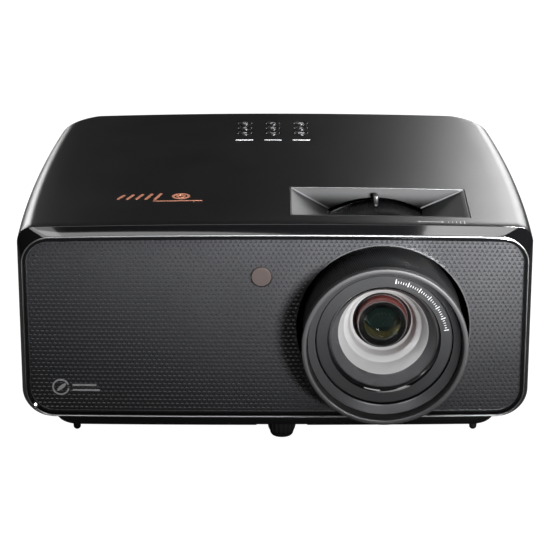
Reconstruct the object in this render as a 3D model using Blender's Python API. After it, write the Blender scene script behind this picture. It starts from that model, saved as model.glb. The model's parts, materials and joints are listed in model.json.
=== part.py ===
"""Home projector: laser light source, manual zoom and focus lens, screw feet.

Metres, +Z up, and the lens faces -Y.  The origin is on the surface that the
projector stands on, under the middle of its bounding box.
"""
import math

import bmesh
import bpy

# Driving dimensions of the case.
BODY_WIDTH = 0.337
BODY_DEPTH = 0.265          # bezel ridge to rear wall
RIM_STAND_OUT = 0.033       # focus ring in front of the bezel ridge
FOOT_HEIGHT = 0.0155        # underside above the table
FLOOR_EDGE = 0.0225         # lowest line of the case's sides, above the base strip
BODY_TOP = 0.1585
SEAM = 0.052                # joint line of the top cover and the bottom case
WALL = 0.0025
GAP = 0.0003                # clearance between touching pieces

# Places along Y.
REAR = (BODY_DEPTH + RIM_STAND_OUT) / 2
RIDGE = REAR - BODY_DEPTH   # foremost line of the bezel
COVER_FRONT = RIDGE + 0.006
SLOT_EDGE = 0.0005          # clearance around inserts in the covers

# Curvature of the case.
SHOULDER_RADIUS = 0.0105    # top cover, side to top
BELLY_RADIUS = 0.020        # bottom case, side to underside
REAR_TOP_RADIUS = 0.003
REAR_BOTTOM_RADIUS = 0.008
REAR_CORNER_RADIUS = 0.026  # seen from above
SIDE_BOW = 0.288            # 1/m, how fast the sides draw in from their widest place
WIDEST_Y = RIDGE + 0.0514
FRONT_BOW = 0.102           # 1/m, how far the front sets back away from its middle
CROWN_DROP = 0.0022         # top lower at CROWN_AT than in the middle
CROWN_AT = 0.140
MIDDLE_Z = 0.088

# Raised pads around the threads for a ceiling bracket.
CEILING_PADS = ((-0.100, -0.060), (0.100, -0.060), (-0.090, 0.060), (0.090, 0.060))
CEILING_PAD_RADIUS = 0.008
CEILING_PAD_Z = FOOT_HEIGHT - 0.0005

# Lens.
LENS_X = 0.0708
LENS_Z = 0.0873
LENS_HOLE_RADIUS = 0.0572
ROUND = 36                  # segments of the large turned pieces

# Keypad.
KEY_COLUMNS = (-0.0220, -0.0015, 0.0190)
KEY_ROWS = {"rear": RIDGE + 0.2370, "middle": RIDGE + 0.2243, "front": RIDGE + 0.2116}
KEY_RADIUS = 0.0052
KEY_HOLE_RADIUS = KEY_RADIUS + SLOT_EDGE
KEYPAD_TOP = 0.1504
LIGHT_BAR_Y = RIDGE + 0.1942
LIGHT_BAR_SIZE = (0.0128, 0.0014)

# Remote-control receiver window.
RECEIVER_X = -0.0089
RECEIVER_Z = 0.1228
RECEIVER_RADIUS = 0.0068

# Feet: (name, x, y).
FEET = (
    ("front", 0.0046, RIDGE + 0.030),
    ("rear_left", -0.120, RIDGE + 0.215),
    ("rear_right", 0.120, RIDGE + 0.215),
)
STUD_RADIUS = 0.003

# Zoom tray in the top cover: upright front and rear walls, sloping ends, and an arched window.
TRAY_X = (0.0100, 0.1280)
TRAY_Y = (RIDGE + 0.0240, RIDGE + 0.0834)
TRAY_WINDOW_X = (0.0360, 0.0992)
TRAY_BOTTOM = 0.1435
TRAY_WALL = 0.0012
TRAY_ARCH_X = 0.0676
TRAY_ARCH_RADIUS = 0.0642
ZOOM_RING_RADIUS = 0.0600

# Side grilles and rear panel.
GRILLE_Y = (RIDGE + 0.070, RIDGE + 0.195)
GRILLE_Z = (0.062, 0.122)
GRILLE_SLOTS = 9
PANEL_OPENING_X = 0.117
PANEL_OPENING_Z = (0.057, 0.112)
PORT_BACK = REAR - 0.0190
PORT_FACE = REAR - 0.0015

# Rear sockets: name, middle x, middle z, width, height, cavity width, cavity height, cavity depth,
# and the thickness of the contact tongue in the cavity.
SOCKETS = (
    ("ac_inlet", -0.0930, 0.0845, 0.0310, 0.0240, 0.0246, 0.0168, 0.0150, 0.0),
    ("hdmi_port_1", -0.0520, 0.0710, 0.0164, 0.0070, 0.0144, 0.0050, 0.0090, 0.0016),
    ("hdmi_port_2", -0.0300, 0.0710, 0.0164, 0.0070, 0.0144, 0.0050, 0.0090, 0.0016),
    ("usb_port", -0.0080, 0.0710, 0.0150, 0.0076, 0.0126, 0.0052, 0.0100, 0.0018),
    ("lan_port", 0.0160, 0.0740, 0.0164, 0.0136, 0.0118, 0.0090, 0.0110, 0.0),
    ("serial_port", 0.0680, 0.0720, 0.0310, 0.0126, 0.0170, 0.0080, 0.0030, 0.0),
)
AUDIO_JACK = (0.0380, 0.0720)

# Looks: colour, roughness, metallic.
FINISHES = {
    "satin_black": ((0.018, 0.018, 0.020), 0.42, 0.0),
    "gloss_black": ((0.008, 0.008, 0.009), 0.12, 0.0),
    "charcoal": ((0.045, 0.046, 0.052), 0.45, 0.0),
    "dark_plastic": ((0.025, 0.025, 0.027), 0.55, 0.0),
    "receiver": ((0.085, 0.070, 0.066), 0.30, 0.0),
    "white_light": ((0.850, 0.860, 0.880), 0.35, 0.0),
    "silver": ((0.720, 0.720, 0.730), 0.28, 1.0),
    "trim_grey": ((0.130, 0.132, 0.138), 0.40, 0.6),
    "glass": ((0.030, 0.028, 0.022), 0.03, 0.0),
    "aluminium": ((0.600, 0.605, 0.620), 0.35, 1.0),
    "black_metal": ((0.030, 0.030, 0.032), 0.40, 0.5),
    "circuit_green": ((0.020, 0.120, 0.050), 0.50, 0.0),
    "fan_black": ((0.030, 0.030, 0.032), 0.60, 0.0),
    "rubber": ((0.020, 0.020, 0.020), 0.85, 0.0),
    "steel": ((0.560, 0.570, 0.580), 0.30, 1.0),
    "phosphor": ((0.850, 0.700, 0.100), 0.40, 0.0),
}


def clear_scene():
    for obj in list(bpy.data.objects):
        bpy.data.objects.remove(obj, do_unlink=True)


def finish_material(name):
    found = bpy.data.materials.get(name)
    if found:
        return found
    color, roughness, metallic = FINISHES[name]
    made = bpy.data.materials.new(name)
    made.use_nodes = True
    shader = made.node_tree.nodes["Principled BSDF"]
    shader.inputs["Base Color"].default_value = (*color, 1.0)
    shader.inputs["Roughness"].default_value = roughness
    shader.inputs["Metallic"].default_value = metallic
    made.diffuse_color = (*color, 1.0)
    return made


def place(name, bm, finish, location=(0, 0, 0), parent=None):
    """Makes an object from bm.  Its vertices are relative to location."""
    bmesh.ops.recalc_face_normals(bm, faces=bm.faces)
    mesh = bpy.data.meshes.new(name)
    bm.to_mesh(mesh)
    bm.free()
    mesh.shade_smooth()
    mesh.set_sharp_from_angle(angle=math.radians(32))
    obj = bpy.data.objects.new(name, mesh)
    bpy.context.scene.collection.objects.link(obj)
    obj.location = location
    obj.parent = parent
    if finish:
        mesh.materials.append(finish_material(finish))
    return obj


def combine(obj, tool, operation):
    """Cuts tool out of obj, or joins it on.  The tool is hidden and isn't a piece."""
    tool.hide_render = True
    tool.display_type = "WIRE"
    modifier = obj.modifiers.new(tool.name, "BOOLEAN")
    modifier.solver = "EXACT"
    modifier.operation = operation
    modifier.object = tool
    return obj


def joint_empty(name, location):
    """The place and axis of a joint whose pieces hang on it."""
    empty = bpy.data.objects.new(name, None)
    empty.empty_display_size = 0.02
    bpy.context.scene.collection.objects.link(empty)
    empty.location = location
    return empty


# ---- Shape makers --------------------------------------------------------

def loft_mesh(rows, closed_loft=False):
    """Faces between successive rings of points, with end caps unless the loft closes on itself."""
    bm = bmesh.new()
    made = [[bm.verts.new(point) for point in row] for row in rows]
    count = len(made[0])
    pairs = list(zip(made, made[1:]))
    if closed_loft:
        pairs.append((made[-1], made[0]))
    for first, second in pairs:
        for i in range(count):
            j = (i + 1) % count
            bm.faces.new((first[i], first[j], second[j], second[i]))
    if not closed_loft:
        bm.faces.new(made[0])
        bm.faces.new(made[-1])
    return bm


def box_mesh(size):
    bm = bmesh.new()
    bmesh.ops.create_cube(bm, size=1.0)
    bmesh.ops.scale(bm, vec=size, verts=bm.verts)
    return bm


def box(name, low, high, finish=None, parent=None):
    """A box from its lowest and highest corners, with its origin in its middle."""
    middle = [(a + b) / 2 for a, b in zip(low, high)]
    size = [b - a for a, b in zip(low, high)]
    offset = parent.location if parent else (0, 0, 0)
    return place(name, box_mesh(size), finish, [m - o for m, o in zip(middle, offset)], parent)


def many_boxes(name, corners):
    """Separate boxes in one mesh, each from its lowest and highest corners."""
    bm = bmesh.new()
    for low, high in corners:
        made = bmesh.ops.create_cube(bm, size=1.0)["verts"]
        bmesh.ops.scale(bm, vec=[b - a for a, b in zip(low, high)], verts=made)
        bmesh.ops.translate(bm, vec=[(a + b) / 2 for a, b in zip(low, high)], verts=made)
    return place(name, bm, None)


def axis_point(axis, radius, angle, along):
    across = (radius * math.cos(angle), radius * math.sin(angle))
    return {
        "X": (along, across[0], across[1]),
        "Y": (across[0], along, across[1]),
        "Z": (across[0], across[1], along),
    }[axis]


def turned_mesh(profile, axis, segments=ROUND):
    """Turns an outline of (radius, distance along the axis).

    The outline closes on itself, or starts and ends on the axis.
    """
    bm = bmesh.new()
    rings = []
    for radius, along in profile:
        count = segments if radius > 0 else 1
        rings.append([
            bm.verts.new(axis_point(axis, radius, math.tau * i / count, along)) for i in range(count)
        ])
    pairs = list(zip(rings, rings[1:]))
    if profile[0][0] > 0:
        pairs.append((rings[-1], rings[0]))
    for first, second in pairs:
        for i in range(segments):
            j = (i + 1) % segments
            corners = [first[i % len(first)], first[j % len(first)],
                       second[j % len(second)], second[i % len(second)]]
            bm.faces.new(list(dict.fromkeys(corners)))
    return bm


def turned(name, profile, finish, location, axis="Y", segments=ROUND, parent=None):
    return place(name, turned_mesh(profile, axis, segments), finish, location, parent)


def rod(name, radius, low, high, location, axis="Z", finish=None, segments=16):
    return turned(name, [(0, low), (radius, low), (radius, high), (0, high)], finish,
                  location, axis, segments)


def many_rods(name, rods, segments=10):
    """Separate upright rods in one mesh, each from (x, y, radius, low, high)."""
    bm = bmesh.new()
    for x, y, radius, low, high in rods:
        made = bmesh.ops.create_cone(bm, cap_ends=True, segments=segments, radius1=radius, radius2=radius,
                                     depth=high - low)["verts"]
        bmesh.ops.translate(bm, vec=(x, y, (low + high) / 2), verts=made)
    return place(name, bm, None)


def prism_mesh(outline, low, high, axis, twist=0.0):
    """Extrudes an outline along an axis.  A twist turns its far end."""
    rows = []
    for along, turn in ((low, 0.0), (high, twist)):
        row = []
        for u, v in outline:
            radius = math.hypot(u, v)
            row.append(axis_point(axis, radius, math.atan2(v, u) + turn, along))
        rows.append(row)
    return loft_mesh(rows)


def comb_outline(length, base, fin, fins, thickness):
    """A heatsink seen along its fins: a base, with fins standing up from it."""
    start, top = -length / 2, base + fin
    pitch = (length - thickness) / (fins - 1)
    outline = [(start, 0), (start, top), (start + thickness, top)]
    for i in range(1, fins):
        left = start + i * pitch
        outline += [(left - pitch + thickness, base), (left, base), (left, top), (left + thickness, top)]
    outline.append((-start, 0))
    return outline


# ---- Shape of the case ---------------------------------------------------

def crown(x, z):
    """How much lower the curved top is at x than in the middle."""
    rise = max(0.0, (z - MIDDLE_Z) / (BODY_TOP - MIDDLE_Z))
    return CROWN_DROP * (x / CROWN_AT) ** 2 * rise


def front_bow(x):
    """How far the front is set back at x."""
    return FRONT_BOW * x * x


def rounding(radius, reach):
    """How far an arc has drawn in, reach past its start."""
    reach = min(max(reach, 0.0), radius)
    return radius - math.sqrt(radius * radius - reach * reach)


def half_width(y, inset=0.0):
    """Half of the case's width at y, drawn in where the rear corners round off."""
    straight = BODY_WIDTH / 2 - SIDE_BOW * (y - WIDEST_Y) ** 2 - inset
    return straight - rounding(REAR_CORNER_RADIUS - inset, y - (REAR - REAR_CORNER_RADIUS))


def case_section(y, edge, radius, rear_radius, inset):
    """One cross-section of a cover, from the seam on the right over to the seam on the left."""
    up = 1 if edge > SEAM else -1
    width = half_width(y, inset)
    drop = rounding(rear_radius - inset, y - (REAR - rear_radius))
    top = edge - up * (inset + drop)
    bend = radius - inset
    half = [(width, SEAM)]
    for step in range(6):
        angle = math.pi / 2 * step / 5
        half.append((width - bend + bend * math.cos(angle), top - up * (bend - bend * math.sin(angle))))
    half += [((width - bend) * share, top) for share in (0.75, 0.5, 0.25)]
    points = half + [(0.0, top)] + [(-x, z) for x, z in reversed(half)]
    front = max(0.0, 1 - (y - COVER_FRONT) / 0.060)
    return [(x, y + front * front_bow(x), z - crown(x, z)) for x, z in points]


def case_rows(inset):
    """Places along Y of a cover's cross-sections."""
    start = REAR - REAR_CORNER_RADIUS
    rows = [COVER_FRONT, COVER_FRONT + 0.018, WIDEST_Y, COVER_FRONT + 0.060, RIDGE + 0.130,
            RIDGE + 0.180, start]
    reach = REAR_CORNER_RADIUS - inset
    rows += [start + reach * math.sin(math.radians(a)) for a in (20, 38, 54, 68, 80, 90)]
    return rows


def case_shell(name, edge, radius, rear_radius):
    """A cover: a thin shell, open at the front and along the seam."""
    bm = bmesh.new()
    sides = []
    for inset in (0.0, WALL):
        rows = [case_section(y, edge, radius, rear_radius, inset) for y in case_rows(inset)]
        made = [[bm.verts.new(point) for point in row] for row in rows]
        for first, second in zip(made, made[1:]):
            for i in range(len(first) - 1):
                bm.faces.new((first[i], first[i + 1], second[i + 1], second[i]))
        bm.faces.new(made[-1])
        sides.append(made)
    outer, inner = sides
    for i in range(len(outer[0]) - 1):
        bm.faces.new((outer[0][i], outer[0][i + 1], inner[0][i + 1], inner[0][i]))
    for column in (0, -1):
        for i in range(len(outer) - 1):
            bm.faces.new((outer[i][column], outer[i + 1][column],
                          inner[i + 1][column], inner[i][column]))
    bm.faces.new((outer[-1][0], outer[-1][-1], inner[-1][-1], inner[-1][0]))
    return place(name, bm, "satin_black")


def front_loop(y, half, low, high, low_radius, high_radius):
    """A rounded rectangle around the front, bowed in plan and crowned at its top."""
    points = []
    corners = (
        (half - high_radius, high - high_radius, high_radius, 0),
        (high_radius - half, high - high_radius, high_radius, 1),
        (low_radius - half, low + low_radius, low_radius, 2),
        (half - low_radius, low + low_radius, low_radius, 3),
    )
    for index, (x, z, radius, quarter) in enumerate(corners):
        for step in range(6):
            angle = math.pi / 2 * (quarter + step / 5)
            points.append((x + radius * math.cos(angle), z + radius * math.sin(angle)))
        next_x, next_z, next_radius, _ = corners[(index + 1) % 4]
        if index in (0, 2):
            for share in (0.2, 0.4, 0.6, 0.8):
                points.append((x + (next_x - x) * share, points[-1][1]))
    return [(x, y + front_bow(x), z - crown(x, z)) for x, z in points]


# ---- Case ----------------------------------------------------------------

def make_top_cover():
    cover = case_shell("top_cover", BODY_TOP, SHOULDER_RADIUS, REAR_TOP_RADIUS)
    seam_half = GAP / 2
    combine(cover, many_boxes("seam_trim_top", [
        ((-0.2, -0.2, SEAM - 0.01), (0.2, 0.2, SEAM + seam_half))]), "DIFFERENCE")
    openings = [
        ((TRAY_X[0] - SLOT_EDGE, TRAY_Y[0] - SLOT_EDGE, 0.150),
         (TRAY_X[1] + SLOT_EDGE, TRAY_Y[1] + SLOT_EDGE, 0.165)),
        ((-0.2, GRILLE_Y[0], GRILLE_Z[0]), (0.2, GRILLE_Y[1], GRILLE_Z[1])),
        ((-PANEL_OPENING_X, REAR - 0.006, PANEL_OPENING_Z[0]),
         (PANEL_OPENING_X, REAR + 0.010, PANEL_OPENING_Z[1])),
    ]
    for x in KEY_COLUMNS:
        bar_x, bar_y = (LIGHT_BAR_SIZE[0] / 2 + GAP, LIGHT_BAR_SIZE[1] / 2 + GAP)
        openings.append(((x - bar_x, LIGHT_BAR_Y - bar_y, 0.150), (x + bar_x, LIGHT_BAR_Y + bar_y, 0.165)))
    combine(cover, many_boxes("cover_openings", openings), "DIFFERENCE")
    holes = [(x, y, KEY_HOLE_RADIUS, 0.150, 0.165) for x in KEY_COLUMNS for y in KEY_ROWS.values()]
    return combine(cover, many_rods("key_holes", holes, 12), "DIFFERENCE")


def base_loop(z, half, front, rear, cut=0.010):
    """Outline of the base strip at height z: bowed at the front, with cut corners."""
    span = half - cut
    nose = [(span * share, front + front_bow(span * share), z) for share in (1, 0.5, 0, -0.5, -1)]
    side = front + front_bow(half) + cut
    return [(half, side, z), *nose, (-half, side, z),
            (-half, rear - cut, z), (-span, rear, z), (span, rear, z), (half, rear - cut, z)]


def make_bottom_case():
    case = case_shell("bottom_case", FLOOR_EDGE, BELLY_RADIUS, REAR_BOTTOM_RADIUS)
    seam_half = GAP / 2
    combine(case, many_boxes("seam_trim_bottom", [
        ((-0.2, -0.2, SEAM - seam_half), (0.2, 0.2, SEAM + 0.01))]), "DIFFERENCE")
    base_front, base_rear = RIDGE + 0.0085, RIDGE + 0.243
    strip = loft_mesh([
        base_loop(FOOT_HEIGHT, 0.1425, base_front, base_rear),
        base_loop(FOOT_HEIGHT + 0.004, 0.1462, base_front - 0.0010, base_rear + 0.0010),
        base_loop(FLOOR_EDGE + 0.0015, 0.1480, base_front - 0.0014, base_rear + 0.0014),
    ])
    combine(case, place("base_strip", strip, None), "UNION")
    floor_top = FOOT_HEIGHT + WALL
    combine(case, many_boxes("base_hollow", [
        ((-0.138, base_front + 0.006, floor_top), (0.138, base_rear - 0.004, floor_top + 0.030))]),
        "DIFFERENCE")
    posts = [(x, y, 0.0415) for x in (0.042, 0.104) for y in (RIDGE + 0.140, RIDGE + 0.182)]
    posts += [(x, y, 0.0257) for x in (-0.130, -0.046) for y in (RIDGE + 0.028, RIDGE + 0.106)]
    posts += [(x, y, 0.0340) for _, x, y in FEET]
    sunk = FOOT_HEIGHT + 0.001
    combine(case, many_rods("posts", [(x, y, 0.0055, sunk, top) for x, y, top in posts]), "UNION")
    pads = [(x, y, CEILING_PAD_RADIUS, CEILING_PAD_Z, sunk) for x, y in CEILING_PADS]
    combine(case, many_rods("ceiling_pads", pads), "UNION")
    bores = [(x, y, STUD_RADIUS + GAP, 0.0, 0.050) for _, x, y in FEET]
    return combine(case, many_rods("foot_bores", bores), "DIFFERENCE")


def make_front_bezel():
    front_half = half_width(COVER_FRONT)
    tuck = WALL + GAP
    face = COVER_FRONT - GAP
    lip_back = RIDGE + 0.0031
    flange = RIDGE + 0.014
    loops = [
        front_loop(flange, front_half - tuck, FLOOR_EDGE + tuck, BODY_TOP - tuck, 0.0172, 0.0192),
        front_loop(face, front_half - tuck, FLOOR_EDGE + tuck, BODY_TOP - tuck, 0.0172, 0.0192),
        front_loop(face, front_half, FLOOR_EDGE, BODY_TOP, BELLY_RADIUS, SHOULDER_RADIUS),
        front_loop(RIDGE, 0.1652, 0.0247, 0.1529, 0.0195, 0.0185),
        front_loop(RIDGE + 0.0012, 0.1619, 0.0289, 0.1481, 0.0160, 0.0150),
        front_loop(lip_back, 0.1619, 0.0289, 0.1481, 0.0160, 0.0150),
        front_loop(lip_back, 0.1633, 0.0268, 0.1499, 0.0166, 0.0160),
        front_loop(flange, 0.1633, 0.0268, 0.1499, 0.0166, 0.0160),
    ]
    return place("front_bezel", loft_mesh(loops, closed_loft=True), "gloss_black")


def make_front_panel():
    front, back = RIDGE + 0.0034, RIDGE + 0.0056
    outline = (0.1629, 0.0272, 0.1495, 0.0162, 0.0156)
    bm = bmesh.new()
    rows = [[bm.verts.new(point) for point in front_loop(y, *outline)] for y in (front, back)]
    count = len(rows[0])
    for i in range(count):
        j = (i + 1) % count
        bm.faces.new((rows[0][i], rows[0][j], rows[1][j], rows[1][i]))
    # The two faces are filled with upright strips, so that they bow smoothly.
    for row in rows:
        for i in range(count // 2 - 1):
            bm.faces.new((row[i], row[i + 1], row[-2 - i], row[-1 - i]))
    panel = place("front_panel", bm, "charcoal")
    hole = rod("lens_hole", LENS_HOLE_RADIUS, -0.02, 0.02, (LENS_X, front, LENS_Z), "Y", segments=ROUND)
    combine(panel, hole, "DIFFERENCE")
    window = rod("receiver_hole", RECEIVER_RADIUS + GAP, -0.02, 0.02, (RECEIVER_X, front, RECEIVER_Z),
                 "Y", segments=20)
    combine(panel, window, "DIFFERENCE")
    return panel


def make_receiver_window():
    radius = RECEIVER_RADIUS
    profile = [(0, 0), (radius - 0.0004, 0), (radius, 0.0004), (radius, 0.0044), (0, 0.0044)]
    return turned("receiver_window", profile, "receiver", (RECEIVER_X, RIDGE + 0.0032, RECEIVER_Z),
                  segments=20)


def make_zoom_tray():
    """A hopper: sloping ends between upright walls, arched below to clear the zoom ring."""
    def loop(x_range, y_range, z, grow_x=0.0, grow_y=0.0):
        left, right = x_range[0] - grow_x, x_range[1] + grow_x
        near, far = y_range[0] - grow_y, y_range[1] + grow_y
        middle = (left + right) / 2
        corners = [(left, near), (middle, near), (right, near), (right, far), (middle, far), (left, far)]
        return [(x, y, z - crown(x, z)) for x, y in corners]

    skirt = BODY_TOP - 0.0040
    loops = [
        loop(TRAY_X, TRAY_Y, skirt),
        loop(TRAY_X, TRAY_Y, BODY_TOP),
        loop(TRAY_X, TRAY_Y, BODY_TOP, -TRAY_WALL, -TRAY_WALL),
        loop(TRAY_WINDOW_X, TRAY_Y, TRAY_BOTTOM, 0.0, -TRAY_WALL),
        loop(TRAY_WINDOW_X, TRAY_Y, TRAY_BOTTOM - 0.0008, TRAY_WALL),
    ]
    tray = place("zoom_tray", loft_mesh(loops, closed_loft=True), "dark_plastic")
    arch = rod("tray_arch", TRAY_ARCH_RADIUS, -0.08, 0.08, (TRAY_ARCH_X, RIDGE + 0.05, LENS_Z), "Y",
               segments=72)
    return combine(tray, arch, "DIFFERENCE")


def make_side_grille(name, side):
    """A louvred plate that follows the side of the case."""
    y_low, y_high = (GRILLE_Y[0] + SLOT_EDGE, GRILLE_Y[1] - SLOT_EDGE)
    z_low, z_high = (GRILLE_Z[0] + SLOT_EDGE, GRILLE_Z[1] - SLOT_EDGE)
    steps = 4
    rows = []
    for i in range(steps + 1):
        y = y_low + (y_high - y_low) * i / steps
        outer, inner = half_width(y) - 0.0006, half_width(y) - WALL - 0.0010
        rows.append([(side * x, y, z) for x, z in
                     ((outer, z_low), (outer, z_high), (inner, z_high), (inner, z_low))])
    grille = place(name, loft_mesh(rows), "dark_plastic")
    pitch = (z_high - z_low) / (GRILLE_SLOTS + 0.6)
    x_low, x_high = sorted((side * 0.130, side * 0.190))
    slots = []
    for i in range(GRILLE_SLOTS):
        z = z_low + pitch * (i + 0.55)
        slots.append(((x_low, y_low + 0.006, z), (x_high, y_high - 0.006, z + pitch / 2)))
    return combine(grille, many_boxes(f"{name}_slots", slots), "DIFFERENCE")


def make_rear_panel():
    y_back, y_face = REAR - 0.0052, REAR - WALL - GAP
    panel = box("rear_panel", (-0.121, y_back, 0.0545), (0.121, y_face, 0.1150), "dark_plastic")
    holes = []
    for _, x, z, width, height, *_ in SOCKETS:
        across, up = width / 2 + GAP, height / 2 + GAP
        holes.append(((x - across, y_back - 0.01, z - up), (x + across, y_face + 0.01, z + up)))
    combine(panel, many_boxes("socket_holes", holes), "DIFFERENCE")
    jack_hole = rod("audio_jack_hole", 0.0045 + GAP, -0.01, 0.01,
                    (AUDIO_JACK[0], y_face, AUDIO_JACK[1]), "Y")
    return combine(panel, jack_hole, "DIFFERENCE")


def make_sockets():
    for name, x, z, width, height, cavity_width, cavity_height, depth, tongue in SOCKETS:
        finish = "black_metal" if name in ("ac_inlet", "lan_port") else "steel"
        socket = box(name, (x - width / 2, PORT_BACK, z - height / 2),
                     (x + width / 2, PORT_FACE, z + height / 2), finish)
        cavity = box(f"{name}_cavity", (x - cavity_width / 2, PORT_FACE - depth, z - cavity_height / 2),
                     (x + cavity_width / 2, PORT_FACE + 0.01, z + cavity_height / 2))
        combine(socket, cavity, "DIFFERENCE")
        if tongue:
            across, up = cavity_width / 2 - 0.0014, tongue / 2
            combine(socket, box(f"{name}_tongue", (x - across, PORT_FACE - depth - 0.002, z - up),
                                (x + across, PORT_FACE - 0.0006, z + up)), "UNION")
    length = PORT_FACE - PORT_BACK
    profile = [(0, 0), (0.0045, 0), (0.0045, length), (0.0018, length), (0.0018, length - 0.012),
               (0, length - 0.012)]
    turned("audio_jack", profile, "dark_plastic", (AUDIO_JACK[0], PORT_BACK, AUDIO_JACK[1]), segments=16)


def make_case():
    make_top_cover()
    make_bottom_case()
    make_front_bezel()
    make_front_panel()
    make_receiver_window()
    make_zoom_tray()
    make_side_grille("side_grille_left", -1)
    make_side_grille("side_grille_right", 1)
    make_rear_panel()
    make_sockets()
    for name, x in (("front_bumper_left", -0.1333), ("front_bumper_right", 0.1333)):
        profile = [(0, -0.0072), (0.0015, -0.0072), (0.0025, -0.0058), (0.0025, 0.0), (0, 0.0)]
        turned(name, profile, "rubber", (x, RIDGE + 0.020, FOOT_HEIGHT - GAP), "Z", 12)


# ---- Keypad --------------------------------------------------------------

def make_keypad():
    box("keypad_board", (-0.033, RIDGE + 0.198, KEYPAD_TOP - 0.0016), (0.030, RIDGE + 0.2445, KEYPAD_TOP),
        "circuit_green")
    top = BODY_TOP + 0.0004
    flange = BODY_TOP - WALL - 0.0006
    radius = KEY_RADIUS
    profile = [(0, 0), (radius - 0.0006, 0), (radius, -0.0006), (radius, flange - top),
               (radius + 0.0008, flange - top), (radius + 0.0008, flange - top - 0.0008),
               (0.0018, flange - top - 0.0008), (0.0018, KEYPAD_TOP + 0.0008 - top),
               (0, KEYPAD_TOP + 0.0008 - top)]
    for row, y in KEY_ROWS.items():
        for column, x in zip(("left", "centre", "right"), KEY_COLUMNS):
            turned(f"key_{row}_{column}", profile, "satin_black", (x, y, top), "Z", 10)
    half_bar, half_thick = (side / 2 for side in LIGHT_BAR_SIZE)
    web_top = BODY_TOP - WALL - 0.0008
    web = box("status_light_pipe", (KEY_COLUMNS[0] - half_bar, LIGHT_BAR_Y - 0.0016, web_top - 0.0016),
              (KEY_COLUMNS[-1] + half_bar, LIGHT_BAR_Y + 0.0016, web_top), "white_light")
    bars = [((x - half_bar, LIGHT_BAR_Y - half_thick, web_top - 0.0008),
             (x + half_bar, LIGHT_BAR_Y + half_thick, BODY_TOP)) for x in KEY_COLUMNS]
    combine(web, many_boxes("light_bars", bars), "UNION")


# ---- Lens ----------------------------------------------------------------

def lens_disc(radius, edge_low, edge_high, bulge_low, bulge_high):
    """Outline of a lens element: two domed faces and a cylindrical edge."""
    front = [(radius * s, edge_low - bulge_low * (1 - s * s)) for s in (0, 0.4, 0.75, 1)]
    back = [(radius * s, edge_high + bulge_high * (1 - s * s)) for s in (1, 0.6, 0)]
    return front + back


def make_lens():
    axis = (LENS_X, RIDGE, LENS_Z)
    focus = joint_empty("focus_axis", axis)
    zoom = joint_empty("zoom_axis", axis)
    cell = joint_empty("lens_cell_slide", axis)
    zoom_group = joint_empty("zoom_cell_slide", axis)
    origin = (0, 0, 0)

    turned("lens_shroud", [(0.0579, 0.009), (0.0600, 0.009), (0.0600, 0.030), (0.0579, 0.030)],
           "rubber", axis)
    turned("lens_barrel", [(0.0515, 0.024), (0.0515, 0.112), (0.0580, 0.112), (0.0580, 0.118),
                           (0.0440, 0.118), (0.0440, 0.024)], "black_metal", axis)
    turned("focus_ring", [(0.0510, -RIM_STAND_OUT), (0.0532, -RIM_STAND_OUT), (0.0538, -0.0324),
                          (0.0538, -0.0270), (0.0525, -0.0260), (0.0525, 0.0200), (0.0499, 0.0200),
                          (0.0499, -0.0254)], "black_metal", origin, parent=focus)
    turned("lens_cell", [(0.0437, 0.0500), (0.0437, 0.0223), (0.0496, 0.0223), (0.0496, -0.0252),
                         (0.0493, -0.0252), (0.0449, -0.0196), (0.0449, -0.0145), (0.0379, -0.0145),
                         (0.0379, -0.0090), (0.0455, -0.0090), (0.0455, 0.0200), (0.0210, 0.0200),
                         (0.0210, 0.0260), (0.0400, 0.0280), (0.0400, 0.0500)],
           "black_metal", origin, parent=cell)
    turned("lens_trim_ring", [(0.0344, -0.0152), (0.0369, -0.0180), (0.0442, -0.0180),
                              (0.0442, -0.0148), (0.0344, -0.0148)], "trim_grey", origin, parent=cell)
    turned("lens_funnel", [(0.0343, -0.0142), (0.0320, -0.0100), (0.0296, -0.0046), (0.0256, 0.0068),
                           (0.0226, 0.0100), (0.0209, 0.0165), (0.0176, 0.0190), (0.0176, 0.0197),
                           (0.0300, 0.0197), (0.0300, 0.0100), (0.0376, -0.0080), (0.0376, -0.0142)],
           "silver", origin, parent=cell)
    turned("front_lens", [(0, 0.0088), (0.0066, 0.0090), (0.0120, 0.0094), (0.0158, 0.0100),
                          (0.0162, 0.0106), (0.0170, 0.0198), (0.0207, 0.0200), (0.0207, 0.0255),
                          (0.0140, 0.0275), (0, 0.0285)], "glass", origin, segments=28, parent=cell)
    radius = ZOOM_RING_RADIUS
    turned("zoom_ring", [(0.0518, 0.0640), (radius - 0.0015, 0.0640), (radius, 0.0655), (radius, 0.0925),
                         (radius - 0.0015, 0.0940), (0.0518, 0.0940)], "fan_black", origin, parent=zoom)
    lever_x, lever_foot = LENS_X - 0.0026, LENS_Z + ZOOM_RING_RADIUS + GAP
    box("zoom_lever", (lever_x - 0.0018, RIDGE + 0.0740, lever_foot),
        (lever_x + 0.0018, RIDGE + 0.0790, lever_foot + 0.0079), "black_metal", parent=zoom)
    turned("zoom_cell", [(0.0437, 0.0720), (0.0437, 0.0900), (0.0223, 0.0900), (0.0223, 0.0720)],
           "black_metal", origin, segments=28, parent=zoom_group)
    turned("zoom_lens", lens_disc(0.0220, 0.0750, 0.0860, 0.0040, 0.0030), "glass", origin,
           segments=24, parent=zoom_group)
    mount = box("lens_mount", (LENS_X - 0.0580, RIDGE + 0.1183, 0.0300),
                (LENS_X + 0.0580, RIDGE + 0.1243, 0.1450), "aluminium")
    combine(mount, rod("lens_mount_hole", 0.030, -0.02, 0.02, (LENS_X, RIDGE + 0.1210, LENS_Z), "Y",
                       segments=24), "DIFFERENCE")


# ---- Inside --------------------------------------------------------------

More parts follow.
